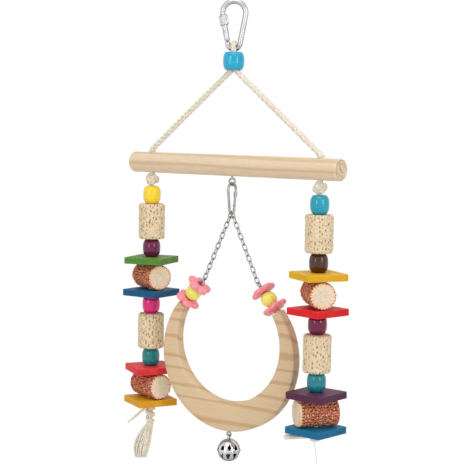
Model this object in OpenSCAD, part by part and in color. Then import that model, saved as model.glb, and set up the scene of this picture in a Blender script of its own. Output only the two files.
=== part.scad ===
// Bird swing: a screw-lock carabiner, a rope hanger, a dowel perch, two strings of
// beads, cobs and plates, and a crescent ring on chains with a jingle bell.
// Lengths in millimetres. The origin is the point inside the carabiner's crown that
// rests on the cage bar. X runs along the dowel, Z is up, the front is -Y.

/* [Carabiner] */
// overall length of the carabiner
carabiner_length = 50; // [40:1:80]
// thickness of its bent rod
carabiner_rod = 5; // [4:0.5:8]
// radius of the crown, to the middle of the rod
crown_radius = 11; // [9:0.5:16]
// radius of the narrow end, to the middle of the rod
foot_radius = 5.9; // [5.5:0.1:8]
// turn of the carabiner away from the dowel, in degrees
carabiner_turn = 34; // [0:1:90]
// outside diameter of the lock sleeve
sleeve_diameter = 8.3; // [7.6:0.1:10]
// length of the lock sleeve
sleeve_length = 9.8; // [7:0.1:12]

/* [Rope] */
// thickness of the cotton rope
rope_diameter = 5.5; // [4:0.1:6]
// height of the rope triangle, from the carabiner rod to the dowel's middle
rope_rise = 111; // [80:1:160]
// diameter of the bead at the top
top_bead_diameter = 20.4; // [18:0.1:26]
// height of the bead at the top
top_bead_height = 17; // [14:0.5:22]
// length of the frayed end below each bottom knot
tassel_length = 25; // [10:1:50]

/* [Perch] */
// length of the dowel
dowel_length = 250; // [220:5:400]
// diameter of the dowel
dowel_diameter = 20.4; // [14:0.1:25]
// distance from the dowel's middle to each rope hole
hole_offset = 102; // [98:1:180]

/* [Strings] */
// diameter of the wooden beads
bead_diameter = 17.8; // [14:0.1:22]
// height of the wooden beads
bead_height = 17.8; // [12:0.1:20]
// diameter of the upright cobs
cob_diameter = 26.6; // [20:0.1:30]
// height of the upright cobs
cob_height = 35.6; // [20:0.1:45]
// side of the square plates
plate_side = 41.5; // [30:0.5:42]
// thickness of the plates
plate_thickness = 6.4; // [4:0.1:9]
// diameter of the lying cobs
lying_cob_diameter = 26.2; // [20:0.1:30]
// length of the lying cobs
lying_cob_length = 39; // [28:0.5:42]

/* [Swing] */
// outside radius of the crescent ring
ring_radius = 74.5; // [60:0.5:75]
// width of the ring at its lowest place
ring_width = 28.3; // [22:0.1:34]
// how far the opening sits above the ring's middle
ring_opening_rise = 12.1; // [6:0.1:13]
// thickness of the ring, front to back
ring_thickness = 12; // [8:0.5:16]
// angle of the ring's tips above its middle, in degrees
tip_angle = 40.8; // [35:0.1:48]
// turn of the ring away from the dowel, in degrees
ring_turn = 6; // [0:1:8]
// distance from the dowel's middle down to the ring's middle
ring_drop = 183.7; // [175:0.1:190]
// diameter of the flowers
flower_diameter = 26; // [20:0.5:30]
// diameter of the bead between two flowers
stack_bead_diameter = 15.8; // [12:0.1:18]
// diameter of the bell
bell_diameter = 22; // [16:0.5:26]

/* [Hidden] */
$fn = 32;

// running clearances
cut = 1;
hair = 0.1;
join = 0.06;
fit = 0.3;
rest = 0.4;
rope_fit = 0.35;
edge = 0.5;

// carabiner, in its own plane: first number across, second number up
rod_r = carabiner_rod / 2;
crown_z = rod_r - crown_radius;
foot_z = carabiner_rod - carabiner_length + rod_r + foot_radius;
bar_z = foot_z - foot_radius;
lean = asin((crown_radius - foot_radius) / (crown_z - foot_z));
crown_touch = [crown_radius * cos(lean), crown_z - crown_radius * sin(lean)];
foot_touch = [foot_radius * cos(lean), foot_z - foot_radius * sin(lean)];
gate_share = 0.84;
gate_length = gate_share * norm(foot_touch - crown_touch);
gate_r = 2.6;
knuckle_r = 2.85;
tongue = 2;
slot = 2.5;
pin_r = 0.8;
nose_r = 2.3;
nose_turn = 22;
sleeve_bore = 3;
sleeve_chamfer = 0.45;
sleeve_gap = 0.3;
tongue_wide = 3.4;
tongue_r = 1.9;
along = [sin(lean), -cos(lean)];
foot_left = [-foot_touch[0], foot_touch[1]];
function crown_at(a) = [crown_radius * cos(a), crown_z + crown_radius * sin(a)];
nose_end = [-crown_touch[0], crown_touch[1]];
knuckle = nose_end + gate_length * along;

// rope triangle
rope_r = rope_diameter / 2;
loop_r = rod_r + fit + rope_r;
rope_sides = 12;
steps = 9;
strand = rope_r + hair / 2;
bead_bore = 6.1;
bead_mouth = 7.9;
bead_mouth_deep = 5.2;
bead_swell_share = 1.8;
top_bead_top = bar_z - rod_r - rest;
top_bead_mid = top_bead_top - top_bead_height / 2;
dowel_r = dowel_diameter / 2;
dowel_z = bar_z - rope_rise;
hole_r = rope_r + rope_fit;

// strings
pivot_drop = 6.8;
pivot_z = dowel_z - dowel_r - pivot_drop;
knot_r = 6.2;
knot_wide = 7.3;
wrap_r = 2.6;
wrap_rise = 1.9;
collar_wall = 1.4;
ball_r = 3.8;
neck_r = 2;
// the farthest swing about each axis of the neck, and about both at once
swing_most = 20;
tilt_most = acos(cos(swing_most) * cos(swing_most));
step = 0.15;
first_top = pivot_z - knot_r - rest;
function stacked(list, n) = n == 0 ? first_top : stacked(list, n - 1) - list[n - 1] - step;
heights = [bead_height, cob_height, bead_height, plate_thickness, lying_cob_diameter,
  plate_thickness, bead_height, cob_height, bead_height, plate_thickness,
  lying_cob_diameter, plate_thickness];
function top(n) = stacked(heights, n);
bore_r = rope_r + rest;
end_knot_top = top(len(heights));
end_knot_height = 16;
end_knot_r = 5.6;
short_knot_height = 7.5;
fray_r = 8;
side_fray_r = 4.4;
side_end_length = 27;
side_end_turn = 218;
side_end_fall = 6;
side_end_z = end_knot_top - side_fray_r - rest;
tassel_top = end_knot_top - end_knot_height;
neck_ball_r = ball_r - hair / 2;

// perch screw eye and snap link
eye_wire = 0.85;
eye_r = 3.45;
eye_gap = 1.2;
pilot = 9;
seat = 0.05;
dowel_round = 0.6;
eye_z = dowel_z - dowel_r - eye_gap - eye_r - eye_wire;
eye_low = eye_z - eye_r;
link_rod = 1.25;
link_top = eye_low + eye_wire + link_rod + hair;
link_length = 29;
link_foot = link_top - link_length;
link_wide = 5.9;
link_narrow = 3.6;
link_top_z = link_top - link_wide;
link_foot_z = link_foot + link_narrow;
link_lean = asin((link_wide - link_narrow) / (link_top_z - link_foot_z));

// swing, in a frame turned by ring_turn: the ring's middle is its origin
ring_z = dowel_z - ring_drop;
ring_opening_radius = ring_radius + ring_opening_rise - ring_width;
inner_at_tip = ring_opening_rise * sin(tip_angle)
  + sqrt(pow(ring_opening_radius, 2) - pow(ring_opening_rise * cos(tip_angle), 2));
tip_r = (ring_radius + inner_at_tip) / 2;
side = 0.65;
shank_r = 1.1;
stack_eye_r = 2.6;
stack_wire = 0.85;
stack_eye_rise = 33;
stack_pilot = 12;
ring_round = 0.6;
lower_flower = 3.3;
collar_r = 3.4;
flower_thick = 5;
petals = 5;
petal_reach = 8;
flower_hollow = 3;
stack_bead_h = 14.6;
stack_step = 0.2;
wire = 0.575;
turn_r = link_rod + wire + hair;
links = 13;
bar_mid = link_foot_z - sqrt(pow(link_narrow, 2) - pow(side, 2));
tip = [tip_r * cos(tip_angle), ring_z + tip_r * sin(tip_angle)];
rise = [-sin(tip_angle), cos(tip_angle)];
eye_mid = tip + stack_eye_rise * rise;
chain_end = eye_mid + stack_eye_r * rise;
chain_angle = atan2(chain_end[0], bar_mid - chain_end[1]);
chain_length = norm([chain_end[0], chain_end[1] - bar_mid]);
past = turn_r - wire - stack_wire - seat;
gap_in = 2 * turn_r - 2 * wire - seat;
straight = (chain_length - past - (links - 1) * gap_in) / links;
pitch = straight + gap_in;

// bell
bell_r = bell_diameter / 2;
shell = 1;
bell_eye_r = 2.2;
bell_wire = 0.8;
ring_low = ring_z - ring_radius;
bell_eye_gap = 0.9;
bell_eye_z = ring_low - bell_eye_gap - bell_eye_r - bell_wire;
bell_hang = bell_eye_z - bell_eye_r;
loop_eye_r = 2.3;
loop_z = bell_hang + 2 * bell_wire + hair - loop_eye_r;
bell_z = loop_z - loop_eye_r - bell_r + edge;
bell_ball_r = 3;
seam_rise = 0.4;
seam_thick = 0.7;
star_middle = 1.15;
star_reach = 1.5;
star_point = 0.75;
star_height = 36;
stars = 4;

// a round bar between two points
module bar(a, b, r) {
  d = b - a;
  translate(a)
    rotate([0, acos(d[2] / norm(d)), atan2(d[1], d[0])])
      cylinder(r = r, h = norm(d));
}

// part of a ring of rod in the XZ plane, from one angle round by another
module arc(radius, r, from, by) {
  rotate([90, 0, 0]) rotate([0, 0, from])
    rotate_extrude(angle = by) translate([radius, 0]) circle(r);
}

// a tube through points, with rings square to its way
function unit(v) = v / norm(v);
function way(p, i) = unit(p[min(i + 1, len(p) - 1)] - p[max(i - 1, 0)]);
function carry(p, i, n) = unit(n - (n * way(p, i)) * way(p, i));
function frames(p, i, n) = i >= len(p) ? [] :
  let (m = carry(p, i, n)) concat([m], frames(p, i + 1, m));
module tube(p, r, sides) {
  f = frames(p, 0, [0.31, 0.93, 0.2]);
  points = [for (i = [0 : len(p) - 1]) for (k = [0 : sides - 1])
    p[i] + r * (cos(360 * k / sides) * f[i] + sin(360 * k / sides) * cross(way(p, i), f[i]))];
  faces = concat(
    [for (i = [0 : len(p) - 2]) for (k = [0 : sides - 1])
      [i * sides + k, i * sides + (k + 1) % sides, (i + 1) * sides + (k + 1) % sides,
       (i + 1) * sides + k]],
    [[for (k = [sides - 1 : -1 : 0]) k]],
    [[for (k = [0 : sides - 1]) (len(p) - 1) * sides + k]]);
  polyhedron(points, faces);
}

// carabiner
module carabiner_frame() { rotate([0, 0, carabiner_turn]) children(); }
function flat(p) = [p[0], 0, p[1]];

module carabiner_body() {
  color("silver") carabiner_frame() difference() {
    union() {
      // crown, ending in the slimmer nose that the sleeve screws over
      translate([0, 0, crown_z]) {
        arc(crown_radius, rod_r, -lean, 180 + 2 * lean - nose_turn);
        arc(crown_radius, nose_r, 180 + lean - nose_turn, nose_turn);
      }
      bar(flat(crown_touch), flat(foot_touch), rod_r);
      for (p = [crown_touch, foot_touch, crown_at(180 + lean - nose_turn)])
        translate(flat(p)) sphere(rod_r + join);
      translate([0, 0, foot_z]) arc(foot_radius, rod_r, -180 + lean, 180 - 2 * lean);
      // stub of rod below the gate, with room for its knuckle
      difference() {
        union() {
          bar(flat(knuckle), flat(foot_left), rod_r);
          translate(flat(foot_left)) sphere(rod_r + join);
        }
        bar(flat(knuckle - cut * along), flat(knuckle + (knuckle_r + fit) * along),
          rod_r + cut);
      }
      // tongue that the gate turns on
      translate(flat(knuckle)) {
        rotate([0, -lean, 0]) translate([-tongue_wide / 2, -tongue / 2, -knuckle_r - cut])
          cube([tongue_wide, tongue, knuckle_r + cut]);
        rotate([90, 0, 0]) cylinder(r = tongue_r, h = tongue, center = true);
      }
    }
    translate(flat(knuckle)) rotate([90, 0, 0])
      cylinder(r = pin_r, h = carabiner_rod + cut, center = true);
  }
}

module carabiner_gate() {
  color("silver") carabiner_frame() difference() {
    union() {
      bar(flat(nose_end + fit * along), flat(knuckle), gate_r);
      translate(flat(knuckle)) sphere(knuckle_r);
    }
    // slot over the tongue
    translate(flat(knuckle)) rotate([0, -lean, 0])
      translate([-knuckle_r - cut, -slot / 2, -knuckle_r - cut])
        cube([2 * knuckle_r + 2 * cut, slot, 2 * knuckle_r + cut]);
    translate(flat(knuckle)) rotate([90, 0, 0])
      cylinder(r = pin_r, h = 2 * knuckle_r + cut, center = true);
  }
}

module carabiner_lock_sleeve() {
  color("gray") carabiner_frame() difference() {
    union() {
      bar(flat(nose_end + (sleeve_gap + sleeve_chamfer) * along),
        flat(nose_end + (sleeve_length - sleeve_chamfer) * along), sleeve_diameter / 2);
      bar(flat(nose_end + sleeve_gap * along), flat(nose_end + sleeve_length * along),
        sleeve_diameter / 2 - sleeve_chamfer);
    }
    bar(flat(nose_end - cut * along), flat(nose_end + (sleeve_length + cut) * along), sleeve_bore);
  }
}

module carabiner_hinge_pin() {
  color("dimgray") carabiner_frame() translate(flat(knuckle)) rotate([90, 0, 0])
    cylinder(r = pin_r, h = 2 * knuckle_r - 2 * fit, center = true);
}

// bead that both halves of the rope pass through
module top_bead() {
  color("turquoise") translate([0, 0, top_bead_mid]) {
    h = top_bead_height / 2;
    w = top_bead_diameter / 2;
    k = bead_swell_share * h;
    rotate_extrude($fn = 48) polygon(concat(
      [[bead_bore, h - bead_mouth_deep], [bead_mouth, h], [bead_mouth + fit, h]],
      [for (i = [-steps : steps]) let (z = -i * (h - edge) / steps)
        [w * sqrt(1 - pow(z / k, 2)), z]],
      [[bead_mouth + fit, -h], [bead_mouth, -h], [bead_bore, -h + bead_mouth_deep]]));
  }
}

// the rope from one dowel hole, through the bead, over the rod and back to the other
function down(a, z, w) = [w * cos(a), w * sin(a), z];
// the rope's bends, above the dowel and below the bead, as shares of its thickness
low_bend_shares = [[0, 0], [0.09, 0.29], [0.36, 0.69], [0.85, 1.2]];
high_bend_shares = [[1.78, -1.05], [1.11, -0.53], [0.73, -0.07], [0.55, 0.47]];
bead_low = top_bead_top - top_bead_height;
function leg(s) = concat(
  [[s * hole_offset, 0, dowel_z - dowel_r], [s * hole_offset, 0, dowel_z]],
  [for (b = low_bend_shares) [s * (hole_offset - b[0] * rope_diameter), 0,
    dowel_z + dowel_r + b[1] * rope_diameter]],
  [for (b = high_bend_shares) [s * b[0] * rope_diameter, 0, bead_low + b[1] * rope_diameter]]);
start = carabiner_turn + 90;
in_bead_share = 0.7;
in_bead_steps = 4;
function inside(s) = [for (i = [0 : in_bead_steps])
  let (left = 1 - i / in_bead_steps)
  down((s > 0 ? start - 180 : start) + left * (90 - carabiner_turn),
    top_bead_top - top_bead_height * (in_bead_share * left + (1 - left) * 0.235),
    i == in_bead_steps ? strand + fit : strand)];
over_low = 30;
over_step = 20;
function over() = [for (t = [-over_low : over_step : 180 + over_low])
  [loop_r * cos(t) * cos(start), loop_r * cos(t) * sin(start), bar_z + loop_r * sin(t)]];
function flip(p) = [for (i = [len(p) - 1 : -1 : 0]) p[i]];
module hanger_rope() {
  color("wheat")
    tube(concat(leg(-1), inside(-1), over(), flip(inside(1)), flip(leg(1))), rope_r, rope_sides);
}

module perch_dowel() {
  color("burlywood") difference() {
    union() {
      translate([0, 0, dowel_z]) rotate([0, 90, 0])
        cylinder(r = dowel_r, h = dowel_length - 2 * dowel_round, center = true, $fn = 64);
      translate([0, 0, dowel_z]) rotate([0, 90, 0])
        cylinder(r = dowel_r - dowel_round, h = dowel_length, center = true, $fn = 64);
    }
    for (s = [-1, 1]) translate([s * hole_offset, 0, dowel_z])
      cylinder(r = hole_r, h = dowel_diameter + 2 * cut, center = true);
    translate([0, 0, dowel_z - dowel_r - cut]) cylinder(r = shank_r, h = pilot + cut);
  }
}

module perch_screw_eye() {
  color("silver") {
    translate([0, 0, eye_z]) arc(eye_r, eye_wire, 0, 360);
    bar([0, 0, eye_z + eye_r], [0, 0, dowel_z - dowel_r + pilot - edge], shank_r - seat);
  }
}

// knots under the dowel, each with a hollow in which the string's end turns
module upper_knots() {
  color("wheat") for (s = [-1, 1]) translate([s * hole_offset, 0, pivot_z]) difference() {
    union() {
      sphere(knot_r, $fn = 40);
      translate([0, 0, wrap_rise]) rotate_extrude() translate([knot_wide - wrap_r, 0])
        circle(wrap_r);
      cylinder(r = rope_r + collar_wall, h = pivot_drop - hair);
    }
    sphere(ball_r + fit);
    translate([0, 0, -knot_r - cut]) cylinder(h = knot_r + cut,
      r1 = neck_r / cos(tilt_most) + fit + (knot_r + cut) * tan(tilt_most),
      r2 = neck_r / cos(tilt_most) + fit);
  }
}

// snap link, in the YZ plane with its gate at +Y
module link_frame() { rotate([0, 0, 90]) children(); }
wide_touch = [link_wide * cos(link_lean), link_top_z - link_wide * sin(link_lean)];
narrow_touch = [link_narrow * cos(link_lean), link_foot_z - link_narrow * sin(link_lean)];
function part_way(f) = wide_touch + f * (narrow_touch - wide_touch);
knuckle_share = 0.8;
stub_share = 0.9;
nose_share = 0.016;
grip_share = 0.1;
grip_end_share = 0.34;
link_knuckle = part_way(knuckle_share);
link_tongue = 1;
link_tongue_wide = 1.7;
link_tongue_reach = 2.3;
link_tongue_r = 0.95;
link_slot = 1.3;
link_pin_r = 0.45;
link_knuckle_r = 1.45;
link_gate_r = 1.1;
link_grip_r = 1.75;

module snap_link_body() {
  color("silver") link_frame() difference() {
    union() {
      translate([0, 0, link_top_z]) arc(link_wide, link_rod, -link_lean, 180 + 2 * link_lean);
      translate([0, 0, link_foot_z]) arc(link_narrow, link_rod, -180 + link_lean, 180 - 2 * link_lean);
      bar(flat([-wide_touch[0], wide_touch[1]]), flat([-narrow_touch[0], narrow_touch[1]]),
        link_rod);
      bar(flat(part_way(stub_share)), flat(narrow_touch), link_rod);
      for (p = [[-wide_touch[0], wide_touch[1]], [-narrow_touch[0], narrow_touch[1]],
        narrow_touch]) translate(flat(p)) sphere(link_rod + join);
      // tongue that the gate turns on
      translate(flat(link_knuckle)) {
        rotate([0, link_lean, 0])
          translate([-link_tongue_wide / 2, -link_tongue / 2, -link_tongue_reach])
            cube([link_tongue_wide, link_tongue, link_tongue_reach]);
        rotate([90, 0, 0])
          cylinder(r = link_tongue_r, h = link_tongue, center = true);
      }
    }
    translate(flat(link_knuckle)) rotate([90, 0, 0])
      cylinder(r = link_pin_r, h = 2 * link_knuckle_r + cut, center = true);
  }
}

module snap_link_gate() {
  color("lightgray") link_frame() difference() {
    union() {
      bar(flat(part_way(nose_share)), flat(link_knuckle), link_gate_r);
      bar(flat(part_way(grip_share)), flat(part_way(grip_end_share)), link_grip_r);
      translate(flat(link_knuckle)) sphere(link_knuckle_r);
    }
    // slot over the tongue
    translate(flat(link_knuckle)) rotate([0, link_lean, 0])
      translate([-link_knuckle_r - cut, -link_slot / 2, -link_knuckle_r - cut])
        cube([2 * link_knuckle_r + 2 * cut, link_slot, 2 * link_knuckle_r + cut]);
    translate(flat(link_knuckle)) rotate([90, 0, 0])
      cylinder(r = link_pin_r, h = 2 * link_knuckle_r + cut, center = true);
  }
}

module snap_link_pin() {
  color("dimgray") link_frame() translate(flat(link_knuckle)) rotate([90, 0, 0])
    cylinder(r = link_pin_r, h = 2 * link_knuckle_r - fit, center = true);
}

// chains: links turned a quarter from one to the next
module chain_link() {
  for (e = [-1, 1]) {
    translate([0, 0, e * straight / 2]) arc(turn_r, wire, e > 0 ? 0 : 180, 180);
    translate([e * turn_r, 0, 0]) cylinder(r = wire, h = straight, center = true);
  }
}
module swing_frame() { rotate([0, 0, ring_turn]) children(); }
module chain(s) {
  translate([0, s * side, bar_mid]) rotate([0, -s * chain_angle, 0])
    for (i = [0 : links - 1]) translate([0, 0, -straight / 2 - i * pitch])
      rotate([0, 0, i % 2 == 0 ? 0 : 90]) chain_link();
}
module left_chain() { color("silver") swing_frame() chain(-1); }
module right_chain() { color("silver") swing_frame() chain(1); }

// one place at a tip of the ring, with Z along the flower stack
module at_tip(s) {
  swing_frame() translate([s * tip[0], s * side, tip[1]])
    rotate([0, -s * tip_angle, 0]) children();
}

module swing_ring() {
  color("burlywood") difference() {
    swing_frame() translate([0, 0, ring_z]) rotate([90, 0, 0]) difference() {
      union() {
        cylinder(r = ring_radius, h = ring_thickness - 2 * ring_round, center = true, $fn = 96);
        cylinder(r = ring_radius - ring_round, h = ring_thickness, center = true, $fn = 96);
      }
      translate([0, ring_opening_rise, 0])
        cylinder(r = ring_opening_radius, h = ring_thickness + cut, center = true, $fn = 96);
      for (e = [-1, 1]) translate([0, ring_opening_rise, e * ring_thickness / 2])
        cylinder(r1 = ring_opening_radius + (e > 0 ? 0 : ring_round),
          r2 = ring_opening_radius + (e > 0 ? ring_round : 0), h = 2 * ring_round,
          center = true, $fn = 96);
      // everything above the two tips
      linear_extrude(height = ring_thickness + 2 * cut, center = true)
        polygon([[0, 0], [2 * ring_radius * cos(tip_angle), 2 * ring_radius * sin(tip_angle)],
          [0, 3 * ring_radius],
          [-2 * ring_radius * cos(tip_angle), 2 * ring_radius * sin(tip_angle)]]);
    }
    for (s = [-1, 1]) at_tip(s) translate([0, 0, -stack_pilot])
      cylinder(r = shank_r, h = stack_pilot + cut);
    swing_frame() translate([0, 0, ring_low - cut]) cylinder(r = shank_r, h = pilot + cut);
  }
}

module stack_screw_eyes() {
  color("silver") for (s = [-1, 1]) at_tip(s) {
    translate([0, 0, stack_eye_rise]) rotate([0, 0, 90]) arc(stack_eye_r, stack_wire, 0, 360);
    translate([0, 0, edge - stack_pilot])
      cylinder(r = shank_r - seat, h = stack_pilot - edge + stack_eye_rise - stack_eye_r);
  }
}

// a puffy flower with five petals and a hollow middle
module flower() {
  petal = flower_diameter / 2 - petal_reach;
  difference() {
    intersection() {
      union() {
        for (k = [0 : petals - 1]) rotate([0, 0, (360 * k + 90) / petals])
          translate([petal_reach, 0, flower_thick / 2]) sphere(petal);
        cylinder(r = petal_reach - edge, h = flower_thick);
      }
      cylinder(r = flower_diameter / 2 + cut, h = flower_thick);
    }
    translate([0, 0, flower_thick]) sphere(flower_hollow);
    translate([0, 0, -cut]) cylinder(r = shank_r + fit, h = flower_thick + 2 * cut);
  }
}
module lime() {
  difference() {
    intersection() {
      sphere(stack_bead_diameter / 2, $fn = 40);
      cube([2 * stack_bead_diameter, 2 * stack_bead_diameter, stack_bead_h], center = true);
    }
    cylinder(r = shank_r + fit, h = stack_bead_diameter, center = true);
  }
}
lime_z = lower_flower + flower_thick + stack_step + stack_bead_h / 2;
upper_z = lime_z + stack_bead_h / 2 + stack_step;
module flower_low() {
  // a short collar keeps the flower clear of the ring
  translate([0, 0, lower_flower - stack_step]) flower();
  difference() {
    cylinder(r = collar_r, h = lower_flower - stack_step + edge);
    translate([0, 0, -cut]) cylinder(r = shank_r + fit, h = lower_flower + 2 * cut);
  }
}
module lower(s) { color("pink") at_tip(s) translate([0, 0, stack_step]) flower_low(); }
module upper(s) {
  color("pink") at_tip(s) translate([0, 0, upper_z]) rotate([0, 0, 180 / petals - 6]) flower();
}
module left_lower_flower() { lower(-1); }
module right_lower_flower() { lower(1); }
module left_upper_flower() { upper(-1); }
module right_upper_flower() { upper(1); }
module left_lime_bead() { color("khaki") at_tip(-1) translate([0, 0, lime_z]) lime(); }
module right_lime_bead() { color("khaki") at_tip(1) translate([0, 0, lime_z]) lime(); }

// bell and its eye
module bell_screw_eye() {
  color("silver") swing_frame() {
    translate([0, 0, bell_eye_z]) arc(bell_eye_r, bell_wire, 0, 360);
    bar([0, 0, bell_eye_z + bell_eye_r], [0, 0, ring_low + pilot - edge], shank_r - seat);
  }
}
// five small round cuts that make one star-shaped sound hole
module star(turn, height) {
  rotate([0, 0, turn]) rotate([0, 90 - height, 0]) {
    translate([0, 0, bell_r / 2]) cylinder(r = star_middle, h = bell_r);
    for (k = [0 : 4]) rotate([0, 0, 72 * k])
      translate([star_reach, 0, bell_r / 2]) cylinder(r = star_point, h = bell_r);
  }
}
module bell_shape(s) {
  difference() {
    union() {
      sphere(bell_r, $fn = 48);
      translate([0, 0, s * seam_rise])
        cylinder(r = bell_r + edge, h = seam_thick, center = true, $fn = 48);
    }
    sphere(bell_r - shell, $fn = 48);
    for (k = [0 : stars - 1]) star(360 * k / stars + (s > 0 ? 0 : 180 / stars), s * star_height);
    translate([-2 * bell_r, -2 * bell_r, s > 0 ? -4 * bell_r + seat : -seat])
      cube([4 * bell_r, 4 * bell_r, 4 * bell_r]);
  }
}
module bell_frame() { swing_frame() translate([0, 0, bell_z]) children(); }
module bell_upper_shell() {
  color("silver") {
    bell_frame() bell_shape(1);
    swing_frame() difference() {
      translate([0, 0, loop_z]) rotate([0, 0, 90]) arc(loop_eye_r, bell_wire, 0, 360);
      translate([0, 0, bell_z]) sphere(bell_r - shell / 2);
    }
  }
}
module bell_lower_shell() { color("silver") bell_frame() bell_shape(-1); }
module bell_ball() {
  color("dimgray") bell_frame() translate([0, 0, -bell_r + shell + bell_ball_r + hair])
    sphere(bell_ball_r);
}

// strings: turning neck, cord through the pieces, end knot, frayed end
module at_string(s) { translate([s * hole_offset, 0, 0]) children(); }
module rope_neck(s) { color("wheat") at_string(s) translate([0, 0, pivot_z]) sphere(neck_ball_r); }
module left_rope_neck() { rope_neck(-1); }
module right_rope_neck() { rope_neck(1); }
// the end knot's outline from the top down, as shares of its radius and height
knot_shares = [[0.73, 0], [0.91, 0.06], [1, 0.19], [0.95, 0.35], [0.82, 0.45], [0.93, 0.56],
  [0.95, 0.71], [0.79, 0.86], [0.61, 0.96], [0.55, 1]];
module string(s) {
  color("wheat") at_string(s) {
    difference() {
      translate([0, 0, first_top - cut]) cylinder(r = neck_r, h = pivot_z - first_top + cut);
      translate([0, 0, pivot_z]) sphere(ball_r + hair);
    }
    translate([0, 0, end_knot_top - cut])
      cylinder(r = rope_r, h = first_top - end_knot_top + cut - fit);
    tall = s < 0 ? end_knot_height : short_knot_height;
    translate([0, 0, end_knot_top - rope_fit]) mirror([0, 0, 1])
      rotate_extrude() polygon(concat([[0, 0]],
        [for (k = knot_shares) [k[0] * end_knot_r, k[1] * (tall - rest)]], [[0, tall - rest]]));
  }
}
module left_string() { string(-1); }
module right_string() { string(1); }
// the frayed end's outline, as shares of its widest radius and its length
fray_shares = [[0.37, 0], [0.41, 0.16], [0.57, 0.48], [0.8, 0.76], [1, 1], [0, 0.96]];
module frayed(radius, length) {
  rotate_extrude() polygon(concat([[0, 0]],
    [for (k = fray_shares) [k[0] * radius, k[1] * length]]));
}
module left_tassel() {
  color("wheat") at_string(-1) translate([0, 0, tassel_top - hair]) mirror([0, 0, 1])
    frayed(fray_r, tassel_length);
}
// the right end is tucked sideways under the lowest plate
module right_tassel() {
  color("wheat") at_string(1) rotate([0, 0, side_end_turn])
    translate([end_knot_r + hair, 0, side_end_z]) rotate([0, 90 + side_end_fall, 0])
      frayed(side_fray_r, side_end_length);
}

// pieces on the strings, by their place from the top
module hole(n) {
  translate([0, 0, -heights[n] - cut]) cylinder(r = bore_r, h = heights[n] + 2 * cut);
}
barrel_share = 1.14;
cob_round = 2.2;
plate_corner = 1.6;
lying_round = 1;
module bead(s, n, c) {
  w = bead_diameter / 2;
  h = bead_height / 2;
  k = barrel_share * h;
  color(c) at_string(s) translate([0, 0, top(n) - h])
    rotate_extrude($fn = 40) polygon(concat(
      [[bore_r, h - edge], [bore_r + edge, h]],
      [for (i = [-steps : steps]) let (z = -i * h / steps) [w * sqrt(1 - pow(z / k, 2)), z]],
      [[bore_r + edge, -h], [bore_r, -h + edge]]));
}
module tan_cob(s, n) {
  w = cob_diameter / 2;
  soft = cob_round * (1 - cos(45));
  color("tan") at_string(s) translate([0, 0, top(n)]) mirror([0, 0, 1])
    rotate_extrude($fn = 48) polygon([[bore_r, 0], [w - cob_round, 0], [w - soft, soft],
      [w, cob_round], [w, cob_height - cob_round], [w - soft, cob_height - soft],
      [w - cob_round, cob_height], [bore_r, cob_height]]);
}
module plate(s, n, turn, c) {
  half = plate_side / 2;
  color(c) at_string(s) translate([0, 0, top(n)]) rotate([0, 0, turn]) difference() {
    translate([0, 0, -plate_thickness]) union() {
      translate([-half + plate_corner, -half, 0])
        cube([plate_side - 2 * plate_corner, plate_side, plate_thickness]);
      translate([-half, -half + plate_corner, 0])
        cube([plate_side, plate_side - 2 * plate_corner, plate_thickness]);
      for (a = [-1, 1]) for (b = [-1, 1])
        translate([a * (half - plate_corner), b * (half - plate_corner), 0])
          cylinder(r = plate_corner, h = plate_thickness);
    }
    hole(n);
  }
}
module lying_cob(s, n, turn) {
  w = lying_cob_diameter / 2;
  color("sienna") at_string(s) translate([0, 0, top(n)]) difference() {
    translate([0, 0, -w]) rotate([0, 0, turn]) rotate([0, 90, 0]) union() {
      cylinder(r = w, h = lying_cob_length - 2 * lying_round, center = true, $fn = 48);
      cylinder(r = w - lying_round, h = lying_cob_length, center = true, $fn = 48);
    }
    hole(n);
  }
}
module left_yellow_bead() { bead(-1, 0, "gold"); }
module left_upper_tan_cob() { tan_cob(-1, 1); }
module left_plum_bead() { bead(-1, 2, "purple"); }
module left_green_plate() { plate(-1, 3, 15, "green"); }
module left_upper_red_cob() { lying_cob(-1, 4, -23); }
module left_blue_plate() { plate(-1, 5, 2, "steelblue"); }
module left_magenta_bead() { bead(-1, 6, "deeppink"); }
module left_lower_tan_cob() { tan_cob(-1, 7); }
module left_teal_bead() { bead(-1, 8, "teal"); }
module left_red_plate() { plate(-1, 9, -30, "tomato"); }
module left_lower_red_cob() { lying_cob(-1, 10, -17); }
module left_ochre_plate() { plate(-1, 11, -25, "goldenrod"); }
module right_turquoise_bead() { bead(1, 0, "turquoise"); }
module right_upper_tan_cob() { tan_cob(1, 1); }
module right_brown_bead() { bead(1, 2, "saddlebrown"); }
module right_yellow_plate() { plate(1, 3, -29, "yellow"); }
module right_upper_red_cob() { lying_cob(1, 4, -42); }
module right_red_plate() { plate(1, 5, -11, "tomato"); }
module right_purple_bead() { bead(1, 6, "purple"); }
module right_lower_tan_cob() { tan_cob(1, 7); }
module right_teal_bead() { bead(1, 8, "teal"); }
module right_purple_plate() { plate(1, 9, -3, "mediumpurple"); }
module right_lower_red_cob() { lying_cob(1, 10, 53); }
module right_blue_plate() { plate(1, 11, -5, "steelblue"); }
carabiner_body();
carabiner_gate();
carabiner_lock_sleeve();
carabiner_hinge_pin();
top_bead();
hanger_rope();
perch_dowel();
perch_screw_eye();
upper_knots();
snap_link_body();
snap_link_gate();
snap_link_pin();
left_chain();
right_chain();
swing_ring();
stack_screw_eyes();
left_lower_flower();
left_lime_bead();
left_upper_flower();
right_lower_flower();
right_lime_bead();
right_upper_flower();
bell_screw_eye();
bell_upper_shell();
bell_lower_shell();
bell_ball();
left_rope_neck();
left_string();
left_tassel();
right_rope_neck();
right_string();
right_tassel();
left_yellow_bead();
left_upper_tan_cob();
left_plum_bead();
left_green_plate();
left_upper_red_cob();
left_blue_plate();
left_magenta_bead();
left_lower_tan_cob();
left_teal_bead();
left_red_plate();
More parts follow.
